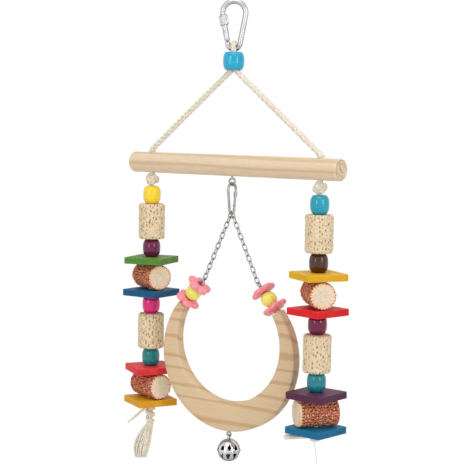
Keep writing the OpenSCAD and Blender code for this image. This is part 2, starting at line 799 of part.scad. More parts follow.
left_lower_red_cob();
left_ochre_plate();
right_turquoise_bead();
right_upper_tan_cob();
right_brown_bead();
right_yellow_plate();
right_upper_red_cob();
right_red_plate();
right_purple_bead();
right_lower_tan_cob();
right_teal_bead();
right_purple_plate();
right_lower_red_cob();
right_blue_plate();
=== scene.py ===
"""Bird swing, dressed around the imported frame.

A carabiner, a twisted cotton rope, a wooden perch, two strings of beads, cobs and
plates, and a crescent ring on two chains with a bell. Pieces are worked out in
millimetres, and go into Blender in metres, where the frame's nodes are.
"""
import random
from math import asin, copysign, cos, exp, hypot, pi, radians, sin, sqrt

import bmesh
import bpy
import numpy as np
from mathutils import Matrix, Vector, noise


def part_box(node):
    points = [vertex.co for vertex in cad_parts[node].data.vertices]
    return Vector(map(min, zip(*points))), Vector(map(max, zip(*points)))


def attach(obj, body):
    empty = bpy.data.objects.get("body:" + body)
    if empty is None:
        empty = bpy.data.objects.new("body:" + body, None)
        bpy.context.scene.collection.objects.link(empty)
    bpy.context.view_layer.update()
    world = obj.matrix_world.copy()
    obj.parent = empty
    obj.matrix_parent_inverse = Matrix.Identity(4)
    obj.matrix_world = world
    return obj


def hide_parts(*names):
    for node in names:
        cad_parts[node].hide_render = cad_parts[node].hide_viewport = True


MM = 0.001
WHITE = (1, 1, 1, 1)
TURN = 2 * pi

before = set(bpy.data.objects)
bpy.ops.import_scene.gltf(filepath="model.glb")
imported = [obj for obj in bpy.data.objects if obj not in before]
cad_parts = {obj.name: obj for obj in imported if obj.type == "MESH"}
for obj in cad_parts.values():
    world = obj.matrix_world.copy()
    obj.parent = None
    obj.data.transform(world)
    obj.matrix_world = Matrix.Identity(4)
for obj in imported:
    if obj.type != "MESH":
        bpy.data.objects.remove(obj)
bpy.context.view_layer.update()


def circle(radius, angle):
    """The two coordinates of a point of a circle."""
    return radius * cos(angle), radius * sin(angle)


def full_turn(count):
    """The angles of a full turn in even steps."""
    return TURN * np.arange(count) / count


def lump(*place):
    """Smooth noise at a place, about -1 to 1."""
    return noise.noise(Vector(place))


# ---- camera

PHOTO_SIDE = 470
FOCAL_PIXELS = 1374.62
SENSOR = 36
CAMERA_AIM = Vector((4.3, 0, -220.19))
CAMERA_AWAY = 1322.88
CAMERA_AZIMUTH = radians(37.71)
CAMERA_HEIGHT = radians(5.0)
CAMERA_ROLL = radians(0.74)


def add_object(name, data):
    made = bpy.data.objects.new(name, data)
    bpy.context.scene.collection.objects.link(made)
    return made


def set_camera():
    back = Vector((
        sin(CAMERA_AZIMUTH) * cos(CAMERA_HEIGHT),
        -cos(CAMERA_AZIMUTH) * cos(CAMERA_HEIGHT),
        sin(CAMERA_HEIGHT),
    ))
    right = Vector((*circle(1, CAMERA_AZIMUTH), 0))
    up = back.cross(right)
    rolled_right = cos(CAMERA_ROLL) * right + sin(CAMERA_ROLL) * up
    rolled_up = back.cross(rolled_right)
    lens = bpy.data.cameras.new("camera")
    lens.sensor_width = SENSOR
    lens.lens = FOCAL_PIXELS * SENSOR / PHOTO_SIDE
    camera = add_object("camera", lens)
    place = (CAMERA_AIM + CAMERA_AWAY * back) * MM
    axes = Matrix((rolled_right, rolled_up, back)).transposed()
    camera.matrix_world = Matrix.Translation(place) @ axes.to_4x4()
    bpy.context.scene.camera = camera


set_camera()


# ---- shader sums


class Term:
    """A shader value that takes part in Python sums."""

    def __init__(self, look, socket):
        self.look, self.socket = look, socket

    def between(self, low, high):
        """0 below low, 1 above high and smooth from one to the other."""
        settings = {"interpolation_type": "SMOOTHSTEP"}
        inputs = {"Value": self, "From Min": low, "From Max": high}
        return self.look.node("MapRange", settings, inputs)


def shader_sum(operation, turned_round=False):
    """The Term method for one operation of Blender's maths node."""
    def method(self, *other):
        terms = (self, *other)
        inputs = dict(enumerate(terms[::-1] if turned_round else terms))
        return self.look.node("Math", {"operation": operation}, inputs)
    return method


for name, operation in {
    "__add__": "ADD", "__radd__": "ADD", "__sub__": "SUBTRACT", "__mul__": "MULTIPLY",
    "__rmul__": "MULTIPLY", "__pow__": "POWER", "__abs__": "ABSOLUTE",
    "at_most": "MINIMUM", "at_least": "MAXIMUM", "sine": "SINE",
}.items():
    setattr(Term, name, shader_sum(operation))
Term.__rsub__ = shader_sum("SUBTRACT", turned_round=True)


def rgb(red, green, blue):
    """A screen colour, 0 to 255, as the linear colour that a shader takes."""
    shares = (channel / 255 for channel in (red, green, blue))
    return tuple(
        s / 12.92 if s <= 0.04045 else ((s + 0.055) / 1.055) ** 2.4 for s in shares
    ) + (1,)


class Shading:
    """A node tree that nodes are added to by value."""

    def __init__(self, tree):
        self.tree = tree

    def fill(self, node, inputs):
        for name, value in inputs.items():
            if isinstance(value, Term):
                self.tree.links.new(value.socket, node.inputs[name])
            else:
                node.inputs[name].default_value = value

    def node(self, kind, settings=None, inputs=None, output=0):
        node = self.tree.nodes.new("ShaderNode" + kind)
        for name, value in (settings or {}).items():
            setattr(node, name, value)
        self.fill(node, inputs or {})
        return Term(self, node.outputs[output])

    def seen_ray(self):
        """1 for a ray from the camera, a mirror or glass, and 0 for the light in the room."""
        camera, glossy, through = (
            self.node("LightPath", output=f"Is {kind} Ray")
            for kind in ("Camera", "Glossy", "Transmission")
        )
        return camera.at_least(glossy).at_least(through)

    def finish(self, output, share, first, second):
        """Two shaders, mixed by a share, into the tree's output."""
        mixed = self.node("MixShader", None, {0: share, 1: first, 2: second})
        self.tree.links.new(mixed.socket, self.tree.nodes[output].inputs["Surface"])


class Look(Shading):
    """One material, built from Python sums."""

    def __init__(self, name, **fixed):
        self.material = bpy.data.materials.new(name)
        self.material.use_nodes = True
        super().__init__(self.material.node_tree)
        self.shader = self.tree.nodes["Principled BSDF"]
        self.set(**fixed)

    def set(self, **inputs):
        self.fill(self.shader, {name.replace("_", " "): inputs[name] for name in inputs})
        return self

    def own(self):
        """The piece's own place in millimetres, before it was put into the frame."""
        return self.node("Attribute", {"attribute_name": "own"}, output=1)

    def mark(self, name):
        return self.node("Attribute", {"attribute_name": name}, output=2)

    def in_frame(self):
        """The place in the frame in millimetres, for the CAD's own nodes."""
        return self.scaled(self.node("TexCoord", output=3), (1000, 1000, 1000))

    def scaled(self, vector, by):
        return self.node("VectorMath", {"operation": "MULTIPLY"}, {0: vector, 1: by})

    def axes(self, vector):
        return [self.node("SeparateXYZ", None, {0: vector}, k) for k in range(3)]

    def cloud(self, place, scale, detail, roughness=0.5, by=None):
        """Smooth noise of a size, stretched by shares along the axes."""
        return self.node("TexNoise", None, {
            "Vector": self.scaled(place, by) if by else place,
            "Scale": scale, "Detail": detail, "Roughness": roughness,
        })

    def blend(self, share, *colours):
        """Two colours mixed by a share. Plain ones are screen colours, 0 to 255."""
        first, second = (c if isinstance(c, Term) else rgb(*c) for c in colours)
        return self.node("Mix", {"data_type": "RGBA"}, {0: share, 6: first, 7: second}, 2)

    def coated(self, base, *coats):
        """A base colour under coats of (share, colour)."""
        for share, colour in coats:
            base = self.blend(share, base, colour)
        return base

    def bump(self, height, distance, strength=1.0):
        inputs = {"Height": height, "Distance": distance * MM, "Strength": strength}
        return self.node("Bump", None, inputs)


# ---- finishes


def metal_look(name, size, detail, cloudy, pale, deep, smooth, rougher, tint):
    """Metal with cloudy patches, darker and rougher. Gives the look and its colour."""
    look = Look(name, Metallic=1, Specular_Tint=tint)
    patches = look.cloud(look.in_frame(), size, detail)
    base = look.blend(patches.between(*cloudy), pale, deep)
    return look.set(Base_Color=base, Roughness=smooth + rougher * patches), base


def chrome_look():
    return metal_look(
        "polished_chrome", 0.12, 2, (0.35, 0.7), (198, 198, 200), (182, 183, 186),
        0.3, 0.04, rgb(96, 96, 100),
    )[0]


def bell_look():
    look, base = metal_look(
        "bell_plate", 0.12, 2, (0.35, 0.7), (226, 226, 228), (196, 197, 200),
        0.14, 0, rgb(96, 96, 100),
    )
    # painted shade: the inner face of the shell is coloured near black, for the shade inside the
    # bell; it is also made rougher
    inside = look.mark("inside")
    return look.set(
        Base_Color=look.blend(inside, base, (34, 34, 36)), Roughness=0.14 + 0.5 * inside
    )


def zinc_look():
    look, _ = metal_look(
        "zinc_plate", 1.4, 3, (0.3, 0.7), (196, 196, 194), (138, 138, 138),
        0.2, 0.3, rgb(110, 110, 110),
    )
    return look.set(Normal=look.bump(look.cloud(look.in_frame(), 6, 3), 0.03, 0.5))


def ball_look():
    return metal_look(
        "dull_ball_steel", 0.9, 3, (0.3, 0.7), (92, 92, 94), (52, 50, 50), 0.35, 0.3, WHITE
    )[0]


def rope_look():
    look = Look("cotton_rope", Roughness=0.95, Sheen_Weight=0.35)
    place = look.own()
    fibres = look.cloud(place, 3.2, 4, 0.7)
    soil = look.cloud(place, 0.16, 2)
    # painted shade: the valley mark darkens the grooves between strands and yarns; the tassel's
    # yarns add a random amount to it, a tone that differs per yarn, and the rope's neck has 0.3
    # all over
    base = look.coated(
        (250, 244, 230),
        (soil.between(0.3, 0.75), (240, 228, 206)),
        (look.mark("valley") * 0.45, (202, 184, 152)),
        (fibres.between(0.56, 0.8) * 0.25, (214, 198, 168)),
    )
    return look.set(Base_Color=base, Normal=look.bump(fibres, 0.35, 0.7))


def pine_look(name, along, bands, pale, deep):
    """Pine: soft bands of growth rings, fine pores and a few darker streaks."""
    look = Look(name)
    place = look.own()
    wavy = look.cloud(place, 0.05, 2, by=(along, 1, 1))
    x, y, z = look.axes(look.scaled(place, bands))
    rings = (x + y + z + wavy * 9).sine()
    fine = look.cloud(place, 1.1, 4, by=(0.07, 1, 1))
    pores = look.cloud(place, 2.2, 3, by=(0.12, 1, 2))
    streak = look.cloud(place, 1, 2, by=[0.15 * band for band in bands])
    # painted shade: the last coat darkens the drying crack in the perch's end, from the mark made
    # in make_perch; the ring's mark is all 0
    base = look.coated(
        pale,
        (rings.between(0.35, 1.0) * 0.8, deep),
        (fine.between(0.42, 0.8) * 0.5, (212, 180, 138)),
        (pores.between(0.62, 0.78) * 0.5, (176, 134, 90)),
        (streak.between(0.55, 0.8) * 0.35, (196, 150, 104)),
        (look.mark("crack_shade"), (96, 66, 42)),
    )
    bump = look.bump(fine * 0.6 + pores * 0.4, 0.12, 0.5)
    return look.set(Base_Color=base, Roughness=0.5 + 0.2 * fine, Normal=bump)


def bead_look(name, colour, deep):
    """Lacquered wood: the dye is deeper in the grain, and the colour is darker towards both ends.
    """
    look = Look(name, Coat_Weight=0.4, Specular_IOR_Level=0.3)
    place = look.own()
    grain = look.cloud(place, 0.9, 4, 0.6, by=(1, 1, 0.12))
    cloudy = look.cloud(place, 0.12, 2)
    base = look.coated(
        colour,
        (grain.between(0.4, 0.75) * 0.55, deep),
        (cloudy.between(0.35, 0.8) * 0.35, deep),
        (look.mark("rim") * 0.6, deep),
    )
    bump = look.bump(grain, 0.06, 0.35)
    return look.set(Base_Color=base, Roughness=0.17 + 0.12 * grain, Normal=bump)


def plate_look(name, colour, deep, worn, half, thick):
    """Dyed pine: streaks along the grain, paler worn edges, end grain that drank more."""
    look = Look(name, Specular_IOR_Level=0.25)
    place = look.own()
    x, y, z = (abs(axis) for axis in look.axes(place))
    grain = look.cloud(place, 0.55, 4, 0.6, by=(0.09, 1, 1))
    fine = look.cloud(place, 2.6, 3, 0.6, by=(0.06, 1, 1))
    cloudy = look.cloud(place, 0.07, 3)
    dx, dy, dz = half - x, half - y, thick / 2 - z
    near = dx.at_most(dy).at_least(dx.at_least(dy).at_most(dz))
    base = look.coated(
        colour,
        (grain.between(0.38, 0.72) * 0.55, deep),
        (fine.between(0.5, 0.75) * 0.35, deep),
        (cloudy.between(0.45, 0.8) * 0.45, worn),
        ((1 - dx.between(0.05, 0.4)) * 0.35, deep),
        ((1 - (near + 0.9 * cloudy).between(0.35, 1.25)) * 0.55, worn),
    )
    bump = look.bump(grain * 0.5 + fine * 0.5, 0.22, 0.6)
    return look.set(Base_Color=base, Roughness=0.42 + 0.25 * fine, Normal=bump)


def tan_cob_look():
    look = Look("tan_cob", Roughness=0.92)
    place = look.own()
    specks = look.cloud(place, 1.3, 4, 0.7)
    warm = look.cloud(place, 0.22, 3)
    # painted shade: the pits are coloured brown as well as sunk in
    base = look.coated(
        (248, 232, 200),
        (specks.between(0.38, 0.68), (212, 184, 142)),
        (warm.between(0.5, 0.72) * 0.55, (230, 182, 122)),
        (look.mark("pit").between(0.15, 0.95) * 0.72, (132, 98, 62)),
    )
    return look.set(Base_Color=base, Normal=look.bump(specks, 0.5, 0.8))


def red_cob_look():
    look = Look("red_cob", Roughness=0.95)
    place, pit = look.own(), look.mark("pit")
    specks = look.cloud(place, 0.75, 4, 0.75)
    fine = look.cloud(place, 2.4, 3, 0.7)
    flecks = look.cloud(place, 0.95, 3, 0.65)
    # painted shade: the pits are darkened and have fewer pale flecks, as well as being sunk in
    hull = look.coated(
        (176, 66, 36),
        (specks.between(0.42, 0.62), (214, 114, 72)),
        (flecks.between(0.53, 0.58) * (1 - 0.5 * pit), (248, 216, 182)),
        (pit.between(0.35, 0.9) * 0.8, (104, 36, 22)),
    )
    pith = look.blend(fine.between(0.4, 0.7), (252, 230, 198), (238, 200, 158))
    heart = look.blend(specks.between(0.35, 0.65), (244, 236, 214), (224, 208, 174))
    pith = look.blend(look.mark("heart"), pith, heart)
    base = look.blend(look.mark("core"), hull, pith)
    return look.set(Base_Color=base, Normal=look.bump(fine * 0.5 + specks, 0.5, 0.8))


def pink_look():
    look = Look("pink_plastic", Coat_Weight=0.1)
    place, deep = look.own(), (250, 102, 118)
    cloudy = look.cloud(place, 0.25, 3)
    shade = cloudy.between(0.35, 0.75) * 0.4
    # painted shade: the hollow mark darkens the recess in the flower's middle
    base = look.coated((255, 158, 168), (shade, deep), (look.mark("hollow"), deep))
    bump = look.bump(look.cloud(place, 2.2, 2), 0.08, 0.4)
    return look.set(Base_Color=base, Roughness=0.42 + 0.12 * cloudy, Normal=bump)


# ---- meshes


def face_outward(mesh):
    shell = bmesh.new()
    shell.from_mesh(mesh)
    bmesh.ops.recalc_face_normals(shell, faces=shell.faces)
    if shell.calc_volume(signed=True) < 0:
        bmesh.ops.reverse_faces(shell, faces=shell.faces)
    shell.to_mesh(mesh)
    shell.free()


def piece(name, points, faces, look, body, stands_for, at=None, marks=None, crisp=False):
    """One mesh piece: its points are its own millimetres, and at puts them in the frame."""
    mesh = bpy.data.meshes.new(name)
    points = np.asarray(points, float)
    mesh.from_pydata(points.tolist(), [], faces)
    own = mesh.attributes.new("own", "FLOAT_VECTOR", "POINT")
    shift = np.array([(sum(map(ord, name)) * k) % 97 for k in (3, 7, 11)]) * (not crisp)
    own.data.foreach_set("vector", (points + shift).ravel())
    for mark, values in (marks or {}).items():
        attribute = mesh.attributes.new(mark, "FLOAT", "POINT")
        attribute.data.foreach_set("value", np.asarray(values, float))
    mesh.transform(Matrix.Scale(MM, 4) @ (at or Matrix()))
    face_outward(mesh)
    mesh.polygons.foreach_set("use_smooth", [True] * len(mesh.polygons))
    mesh.materials.append(look.material)
    mesh.update()
    mesh.validate()
    made = add_object(name, mesh)
    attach(made, body)
    if stands_for:
        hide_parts(stands_for)
    return made


def net(rows, columns, wrap_rows=False, wrap_columns=True):
    """Quads over a grid of points that is rows by columns."""
    faces = []
    for i in range(rows if wrap_rows else rows - 1):
        for j in range(columns if wrap_columns else columns - 1):
            k, m = (i + 1) % rows, (j + 1) % columns
            faces.append((i * columns + j, i * columns + m, k * columns + m, k * columns + j))
    return faces


def barrel(around, width):
    """Faces for around rows of width points each, closed by a cap at both ends."""
    first = [j * width for j in range(around)]
    last = [k + width - 1 for k in first]
    return net(around, width, wrap_rows=True, wrap_columns=False) + [first, last[::-1]]


def closed(rows, columns):
    """Faces for rows of columns points each, closed by a cap on the first and the last."""
    last = (rows - 1) * columns
    caps = [tuple(range(columns))[::-1], tuple(range(last, last + columns))]
    return net(rows, columns) + caps


def turned(profile, around, change=None):
    """A closed profile of (radius, height) turned about Z. change moves each point."""
    points = []
    for angle in full_turn(around):
        for i, (radius, height) in enumerate(profile):
            if change:
                radius, height = change(angle, i, radius, height)
            points.append((*circle(radius, angle), height))
    return points, net(around, len(profile), wrap_rows=True)


def placed(spot, degrees=0):
    """The place of a piece at a spot, in millimetres, turned about Z."""
    return Matrix.Translation(spot) @ Matrix.Rotation(radians(degrees), 4, "Z")


def box_of(node):
    """A node's middle and size, in millimetres."""
    low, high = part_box(node)
    return (low + high) / 2 / MM, (high - low) / MM


def run_along(way):
    """How far along the way each of its points is."""
    return np.concatenate([[0], np.cumsum(np.linalg.norm(np.diff(way, axis=0), axis=1))])


def even(points, step):
    """A smooth way through the points, in even steps."""
    points = [Vector(p) for p in points]
    ends = [2 * points[0] - points[1]] + points + [2 * points[-1] - points[-2]]
    fine = []
    for a, b, c, d in zip(ends, ends[1:], ends[2:], ends[3:]):
        parts = max(2, int((c - b).length / step * 4))
        for k in range(parts):
            t = k / parts
            fine.append(0.5 * (
                2 * b + (c - a) * t + (2 * a - 5 * b + 4 * c - d) * t * t
                + (3 * b - a - 3 * c + d) * t ** 3
            ))
    fine = np.array(fine + points[-1:])
    runs = run_along(fine)
    wanted = np.linspace(0, runs[-1], max(3, int(runs[-1] / step) + 1))
    return np.stack([np.interp(wanted, runs, axis) for axis in fine.T], 1)


def frames_along(way):
    """Two directions square to the way at each of its points, carried without a twist."""
    forward = np.gradient(way, axis=0)
    forward /= np.linalg.norm(forward, axis=1)[:, None]
    side = np.cross(forward[0], (0.31, 0.93, 0.2))
    sides = []
    for f in forward:
        side = side - side.dot(f) * f
        side = side / np.linalg.norm(side)
        sides.append(side)
    sides = np.array(sides)
    return sides, np.cross(forward, sides)


def tube(way, radius, sides, lobes=0, lobe_turn=0.0, lobe_depth=0.0):
    """A round or lobed tube along a way, closed at both ends, with its valleys marked."""
    first, second = frames_along(way)
    angles = full_turn(sides)
    radius = np.broadcast_to(radius, len(way))
    wave = np.cos(lobes * angles[None, :] + lobe_turn * run_along(way)[:, None])
    size = radius[:, None] * (1 + lobe_depth * wave)
    points = (
        way[:, None, :]
        + (size * np.cos(angles))[..., None] * first[:, None, :]
        + (size * np.sin(angles))[..., None] * second[:, None, :]
    )
    # the valleys are the grooves between lobes, which rope_look darkens as painted shade
    valley = 0.5 - 0.5 * wave if lobes else np.zeros_like(wave)
    return points.reshape(-1, 3), closed(len(way), sides), valley.ravel()


def joined(parts):
    """Several (points, faces, mark) as one."""
    points, faces, marks, start = [], [], [], 0
    for p, f, m in parts:
        points.append(p)
        marks.append(m)
        faces += [tuple(start + k for k in face) for face in f]
        start += len(p)
    return np.concatenate(points), faces, np.concatenate(marks)


ROPE = 5.5
ROPE_LAY = 17.0
STRANDS = 3
YARNS = 4


def twisted(way, thick=ROPE, lay=ROPE_LAY, start=0.0, sides=20):
    """Three strands laid round each other, each of four yarns."""
    first, second = frames_along(way)
    thick = np.broadcast_to(thick, len(way))
    strand = 0.275 * thick
    off = (thick / 2 - strand)[:, None]
    parts = []
    for k in range(STRANDS):
        angle = start + TURN * (k / STRANDS + run_along(way) / lay)[:, None]
        middle = way + off * np.cos(angle) * first + off * np.sin(angle) * second
        parts.append(tube(middle, strand, sides, YARNS, TURN / 5, 0.09))
    return joined(parts)


def rope_piece(name, parts, body, stands_for=None):
    points, faces, valley = joined(parts)
    return piece(name, points, faces, rope, body, stands_for, None, {"valley": valley}, True)


def straight(x, start, end):
    """A way straight down."""
    return np.array([(x, 0, z) for z in np.arange(start, end, -0.7)])


# ---- the hanger rope

PERCH_Z = -153.5
PERCH_R = 10.2
HOLE_X = 102.0
BAR_Z = -42.5
CARABINER_TURN = 34
BEAD_TOP = -45.4
BEAD_HALF = 8.5
BEAD_MID = BEAD_TOP - BEAD_HALF
LOOP_R = 5.55
STRAND_R = 2.8
OVER_START = CARABINER_TURN + 90
SIDES = (("left", -1), ("right", 1))
rope = rope_look()


def rope_leg(s):
    perch_top, bead_low = PERCH_Z + PERCH_R, BEAD_MID - BEAD_HALF
    spots = (
        (HOLE_X, PERCH_Z - PERCH_R), (HOLE_X, PERCH_Z), (HOLE_X, perch_top),
        (HOLE_X - 0.5, perch_top + 1.6), (HOLE_X - 2, perch_top + 3.8),
        (HOLE_X - 4.7, perch_top + 6.6), (9.8, bead_low - 5.8), (6.1, bead_low - 2.9),
        (4, bead_low - 0.4), (3, bead_low + 2.6),
    )
    return [(s * x, 0, z) for x, z in spots]


def rope_in_bead(s):
    spots = []
    for i in range(5):
        from_start = (4 - i) * (90 - CARABINER_TURN) / 4
        angle = radians(OVER_START - 180 * (s > 0) + from_start)
        out = 3.1 if i == 4 else STRAND_R
        spots.append((*circle(out, angle), BEAD_TOP - 12 + 2 * i))
    return spots


def rope_over_rod():
    start = radians(OVER_START)
    spots = []
    for degrees in range(-30, 211, 20):
        t = radians(degrees)
        out = LOOP_R * cos(t)
        spots.append((*circle(out, start), BAR_Z + LOOP_R * sin(t)))
    return spots


def make_hanger_rope():
    spots = (
        rope_leg(-1) + rope_in_bead(-1) + rope_over_rod()
        + rope_in_bead(1)[::-1] + rope_leg(1)[::-1]
    )
    way = even(spots, 0.8)
    made = rope_piece("hanger_rope_laid", [twisted(way)], "hanger", "hanger_rope")


make_hanger_rope()


# ---- strings, knots, frayed ends

PIVOT_Z = -170.5
FIRST_TOP = -177.1
KNOT_TOP = -399.3
TASSEL_TOP = -415.3
TASSEL_LOW = -455.3
TASSEL_LEAN = Vector((-7.4, -5.7, 0))
TASSEL_R = 6.4
NECK_R = 3.6
NECK_ROPE = 4.2
WRAP_STEPS = 130
SHORT_KNOT_LOW = -406.6
SIDE_END_Z = -402.6
SIDE_END_START = 5.7
SIDE_END_LONG = 27.0
SIDE_END_TURN = radians(218)
SIDE_END_FALL = radians(1)


def knot_way(middle, wide, deep, tall, turn, broad=1.25, step=0.7):
    """An overhand knot: a closed three-lobed turn of rope."""
    spots = []
    for t in full_turn(48):
        out = wide + deep * cos(3 * t)
        spots.append((broad * out * cos(2 * t), out * sin(2 * t), tall * sin(3 * t)))
    way = even(spots + spots[:1], step)
    spin = np.array(Matrix.Rotation(turn, 3, "Z") @ Matrix.Rotation(pi / 2, 3, "X"))
    return way @ spin.T + np.array(middle)


def make_upper_knots():
    parts = []
    for s, turn in ((-1, 0.5), (1, 1.1)):
        x = s * HOLE_X
        knot = knot_way((x, 0, PIVOT_Z + 0.1), 2.75, 1.3, 2.7, turn)
        parts.append(twisted(knot, thick=4.8, lay=12))
        parts.append(twisted(straight(x, PERCH_Z - PERCH_R + 3, PIVOT_Z)))
    rope_piece("upper_knots_tied", parts, "hanger", "upper_knots")


def frayed(start, ends, seed, yarn, rows=16):
    """Yarns that come loose from one place and spread to their own ends."""
    rng = random.Random(seed)
    parts = []
    for end, bow in ends:
        root = Vector(start) + Vector((rng.gauss(0, 0.9), rng.gauss(0, 0.9), rng.uniform(0, 2)))
        wobble = [rng.uniform(0, TURN) for _ in range(2)]
        spots = []
        for k in range(rows):
            t = k / (rows - 1)
            curl = Vector((sin(9 * t + wobble[0]), cos(8 * t + wobble[1]), 0))
            spots.append(root.lerp(end, t) + bow * (t * (1 - t)) + 0.22 * t * curl)
        points, faces, valley = tube(np.array(spots), yarn * np.linspace(1, 0.75, rows), 6)
        parts.append((points, faces, valley + 0.25 * rng.random()))
    return parts


def hanging_ends(x, count, seed):
    """The left string's ends: where each yarn ends, and how far it bows out."""
    rng = random.Random(seed)
    ends = []
    for _ in range(count):
        angle, out = rng.uniform(0, TURN), sqrt(rng.random())
        low = TASSEL_LOW + 0.2 + rng.uniform(0, 4.5) * (0.3 + rng.random())
        side = Vector((*circle(1, angle), 0)) * out
        place = Vector((x, 0, low)) + TASSEL_LEAN + TASSEL_R * side
        ends.append((place, 17 * side + 0.8 * TASSEL_LEAN))
    return ends


def side_ends(count, seed):
    """The right string's ends, tucked sideways under its lowest plate."""
    rng = random.Random(seed)
    flat = Vector((*circle(1, SIDE_END_TURN), 0))
    out = flat * cos(SIDE_END_FALL) - Vector((0, 0, sin(SIDE_END_FALL)))
    across, up = Vector((-flat.y, flat.x, 0)), Vector((0, 0, 1))
    start = Vector((HOLE_X, 0, SIDE_END_Z)) + flat * SIDE_END_START
    ends = []
    for _ in range(count):
        angle, wide = rng.uniform(0, TURN), 3.8 * sqrt(rng.random())
        long = SIDE_END_LONG - 3 - rng.uniform(0, 7) * (0.2 + rng.random())
        side = across * cos(angle) + up * 0.6 * sin(angle)
        ends.append((start + out * long + side * wide, side * 1.3))
    # one thin yarn hangs down
    ends.append((Vector((HOLE_X + 2.4, -0.4, SIDE_END_Z - 25)), Vector((1.6, 1.0, 0))))
    return start - flat * 3.2 - up, ends


def end_knot(x, s, fall, turns):
    """Rope wound round the string's end, shrinking down the left one's long fall."""
    wraps = []
    for t in np.linspace(0, 1, WRAP_STEPS):
        angle = TURN * turns * t + s
        out = 2.7 + 0.6 * sin(pi * t) - (0.9 * t if s < 0 else 0)
        wraps.append((x + out * cos(angle), out * sin(angle), KNOT_TOP - 2.8 - fall * t))
    return twisted(even(wraps, 0.6), thick=4.6, lay=13)


def loose_strand(x):
    """The strand that sticks out sideways under the lowest left plate."""
    way = even([
        (x - 1, -1, -402.6), (x - 6, -4.4, -406.2), (x - 12, -9.2, -413), (x - 18.2, -14, -419.4),
    ], 0.8)
    return tube(way, np.linspace(1.45, 0.85, len(way)), 12, 3, TURN / 7, 0.12)


def make_string(side, s):
    x, body = s * HOLE_X, f"{side}_string"
    low = TASSEL_TOP + 0.4 if s < 0 else SHORT_KNOT_LOW
    way = straight(x, PIVOT_Z - 1.5, low)
    neck = np.clip((FIRST_TOP - 1.5 - way[:, 2]) / 2.5, 0, 1)
    thick = NECK_ROPE + (ROPE - NECK_ROPE) * neck
    laid = twisted(way, thick, start=TURN * 1.5 / ROPE_LAY, sides=16)
    cord = rope_piece(f"{side}_string_laid", [laid], body, f"{side}_string")
    if s < 0:
        tied = [end_knot(x, s, 17.4, 2.5), loose_strand(x)]
        threads = frayed((x, 0, TASSEL_TOP - 4), hanging_ends(x, 190, 4), 8, 0.62)
    else:
        tied = [end_knot(x, s, 2.3, 1.5)]
        threads = frayed(*side_ends(80, 6), 10, 0.36)
    knot = rope_piece(f"{side}_end_knot_tied", tied, body)
    tassel = rope_piece(f"{side}_tassel_frayed", threads, body, f"{side}_tassel")


def make_neck(side, s):
    """The bend of the rope in the knot: a ball, a little three-sided."""
    around, rows = 32, 17
    profile = [
        (max(0.05, NECK_R * sin(a)), NECK_R * cos(a))
        for a in np.linspace(0.02, 3.12, rows)
    ]
    points, _ = turned(
        profile, around, lambda a, i, r, z: (r * (1 + 0.04 * cos(3 * a + z)), z)
    )
    piece(
        f"{side}_neck_laid", points, barrel(around, rows), rope, f"{side}_rope_neck",
        f"{side}_rope_neck", placed((s * HOLE_X, 0, PIVOT_Z)), {"valley": [0.3] * len(points)},
    )


make_upper_knots()
for side, s in SIDES:
    make_neck(side, s)
    make_string(side, s)


# ---- beads

STRING_BORE = 3.15


def bead_profile(bore, wide, tall, swell, mouth=0.5, power=2):
    """The closed outline of a barrel bead, from its bore round its outside."""
    half, radius, steps = tall / 2, wide / 2, 22
    outer = []
    for k in range(steps + 1):
        z = half - tall * k / steps
        outer.append((radius * sqrt(1 - abs(z / (swell * half)) ** power), z))
    flat, lip = outer[0][0], bore + mouth * 0.3
    top = [(bore + mouth + (flat - bore - mouth) * share, half) for share in (0.35, 0.75, 0.93)]
    top.append((flat + 0.02, half - 0.08))
    return (
        [(bore, -half + mouth), (bore, 0), (bore, half - mouth), (lip, half - mouth * 0.3)]
        + top + outer[1:-1] + [(r, -z) for r, z in top[::-1]] + [(lip, -half + mouth * 0.3)]
    )


def rim_of(points, half, deep):
    """1 at a bead's two ends, fading to 0 at the given depth."""
    return {"rim": [max(0, 1 - (half - abs(p[2])) / deep) for p in points]}


def make_bead(node, look, bore=STRING_BORE, swell=1.2, power=3, around=56):
    middle, size = box_of(node)
    profile = bead_profile(bore, size.x, size.z, swell, power=power)
    seed = len(node)

    def change(angle, i, radius, height):
        v = Vector((*circle(1, angle), height / 12 + seed))
        return radius + (0.07 * noise.noise(v * 1.3) if radius > bore + 0.1 else 0), height

    points, faces = turned(profile, around, change)
    rim = rim_of(points, size.z / 2, 1.6)
    piece(node + "_turned", points, faces, look, node, node, placed(middle), rim)


top_look = bead_look("turquoise_lacquer", (4, 178, 212), (1, 130, 176))
make_bead("top_bead", top_look, bore=6.1, swell=1.38)
for place, dye, *colours in (
    ("left_yellow", "yellow", (255, 222, 42), (246, 188, 24)),
    ("left_plum", "plum", (116, 8, 74), (66, 2, 40)),
    ("left_magenta", "magenta", (244, 26, 134), (206, 10, 110)),
    ("left_teal", "teal", (10, 146, 150), (4, 104, 114)),
    ("right_turquoise", "aqua", (16, 168, 190), (4, 116, 148)),
    ("right_brown", "brown", (78, 36, 14), (36, 16, 8)),
    ("right_purple", "purple", (120, 4, 66), (72, 1, 40)),
    ("right_teal", "sea", (16, 146, 156), (4, 100, 116)),
):
    make_bead(place + "_bead", bead_look(dye + "_lacquer", *colours))


# ---- plates

PLATE_SIDE = 41.5
PLATE_THICK = 6.4
PLATE_CORNER = 1.6
PLATE_BEND = 0.13


def square_outline(half, corner, per_side=14, per_corner=5):
    """Points round a square with rounded corners."""
    reach = half - corner
    side = [Vector((half, -reach + 2 * reach * k / per_side)) for k in range(per_side)]
    for k in range(per_corner):
        a = TURN / 4 * k / per_corner
        side.append(Vector((reach + corner * cos(a), reach + corner * sin(a))))
    return [Matrix.Rotation(quarter * TURN / 4, 2) @ spot for quarter in range(4) for spot in side]


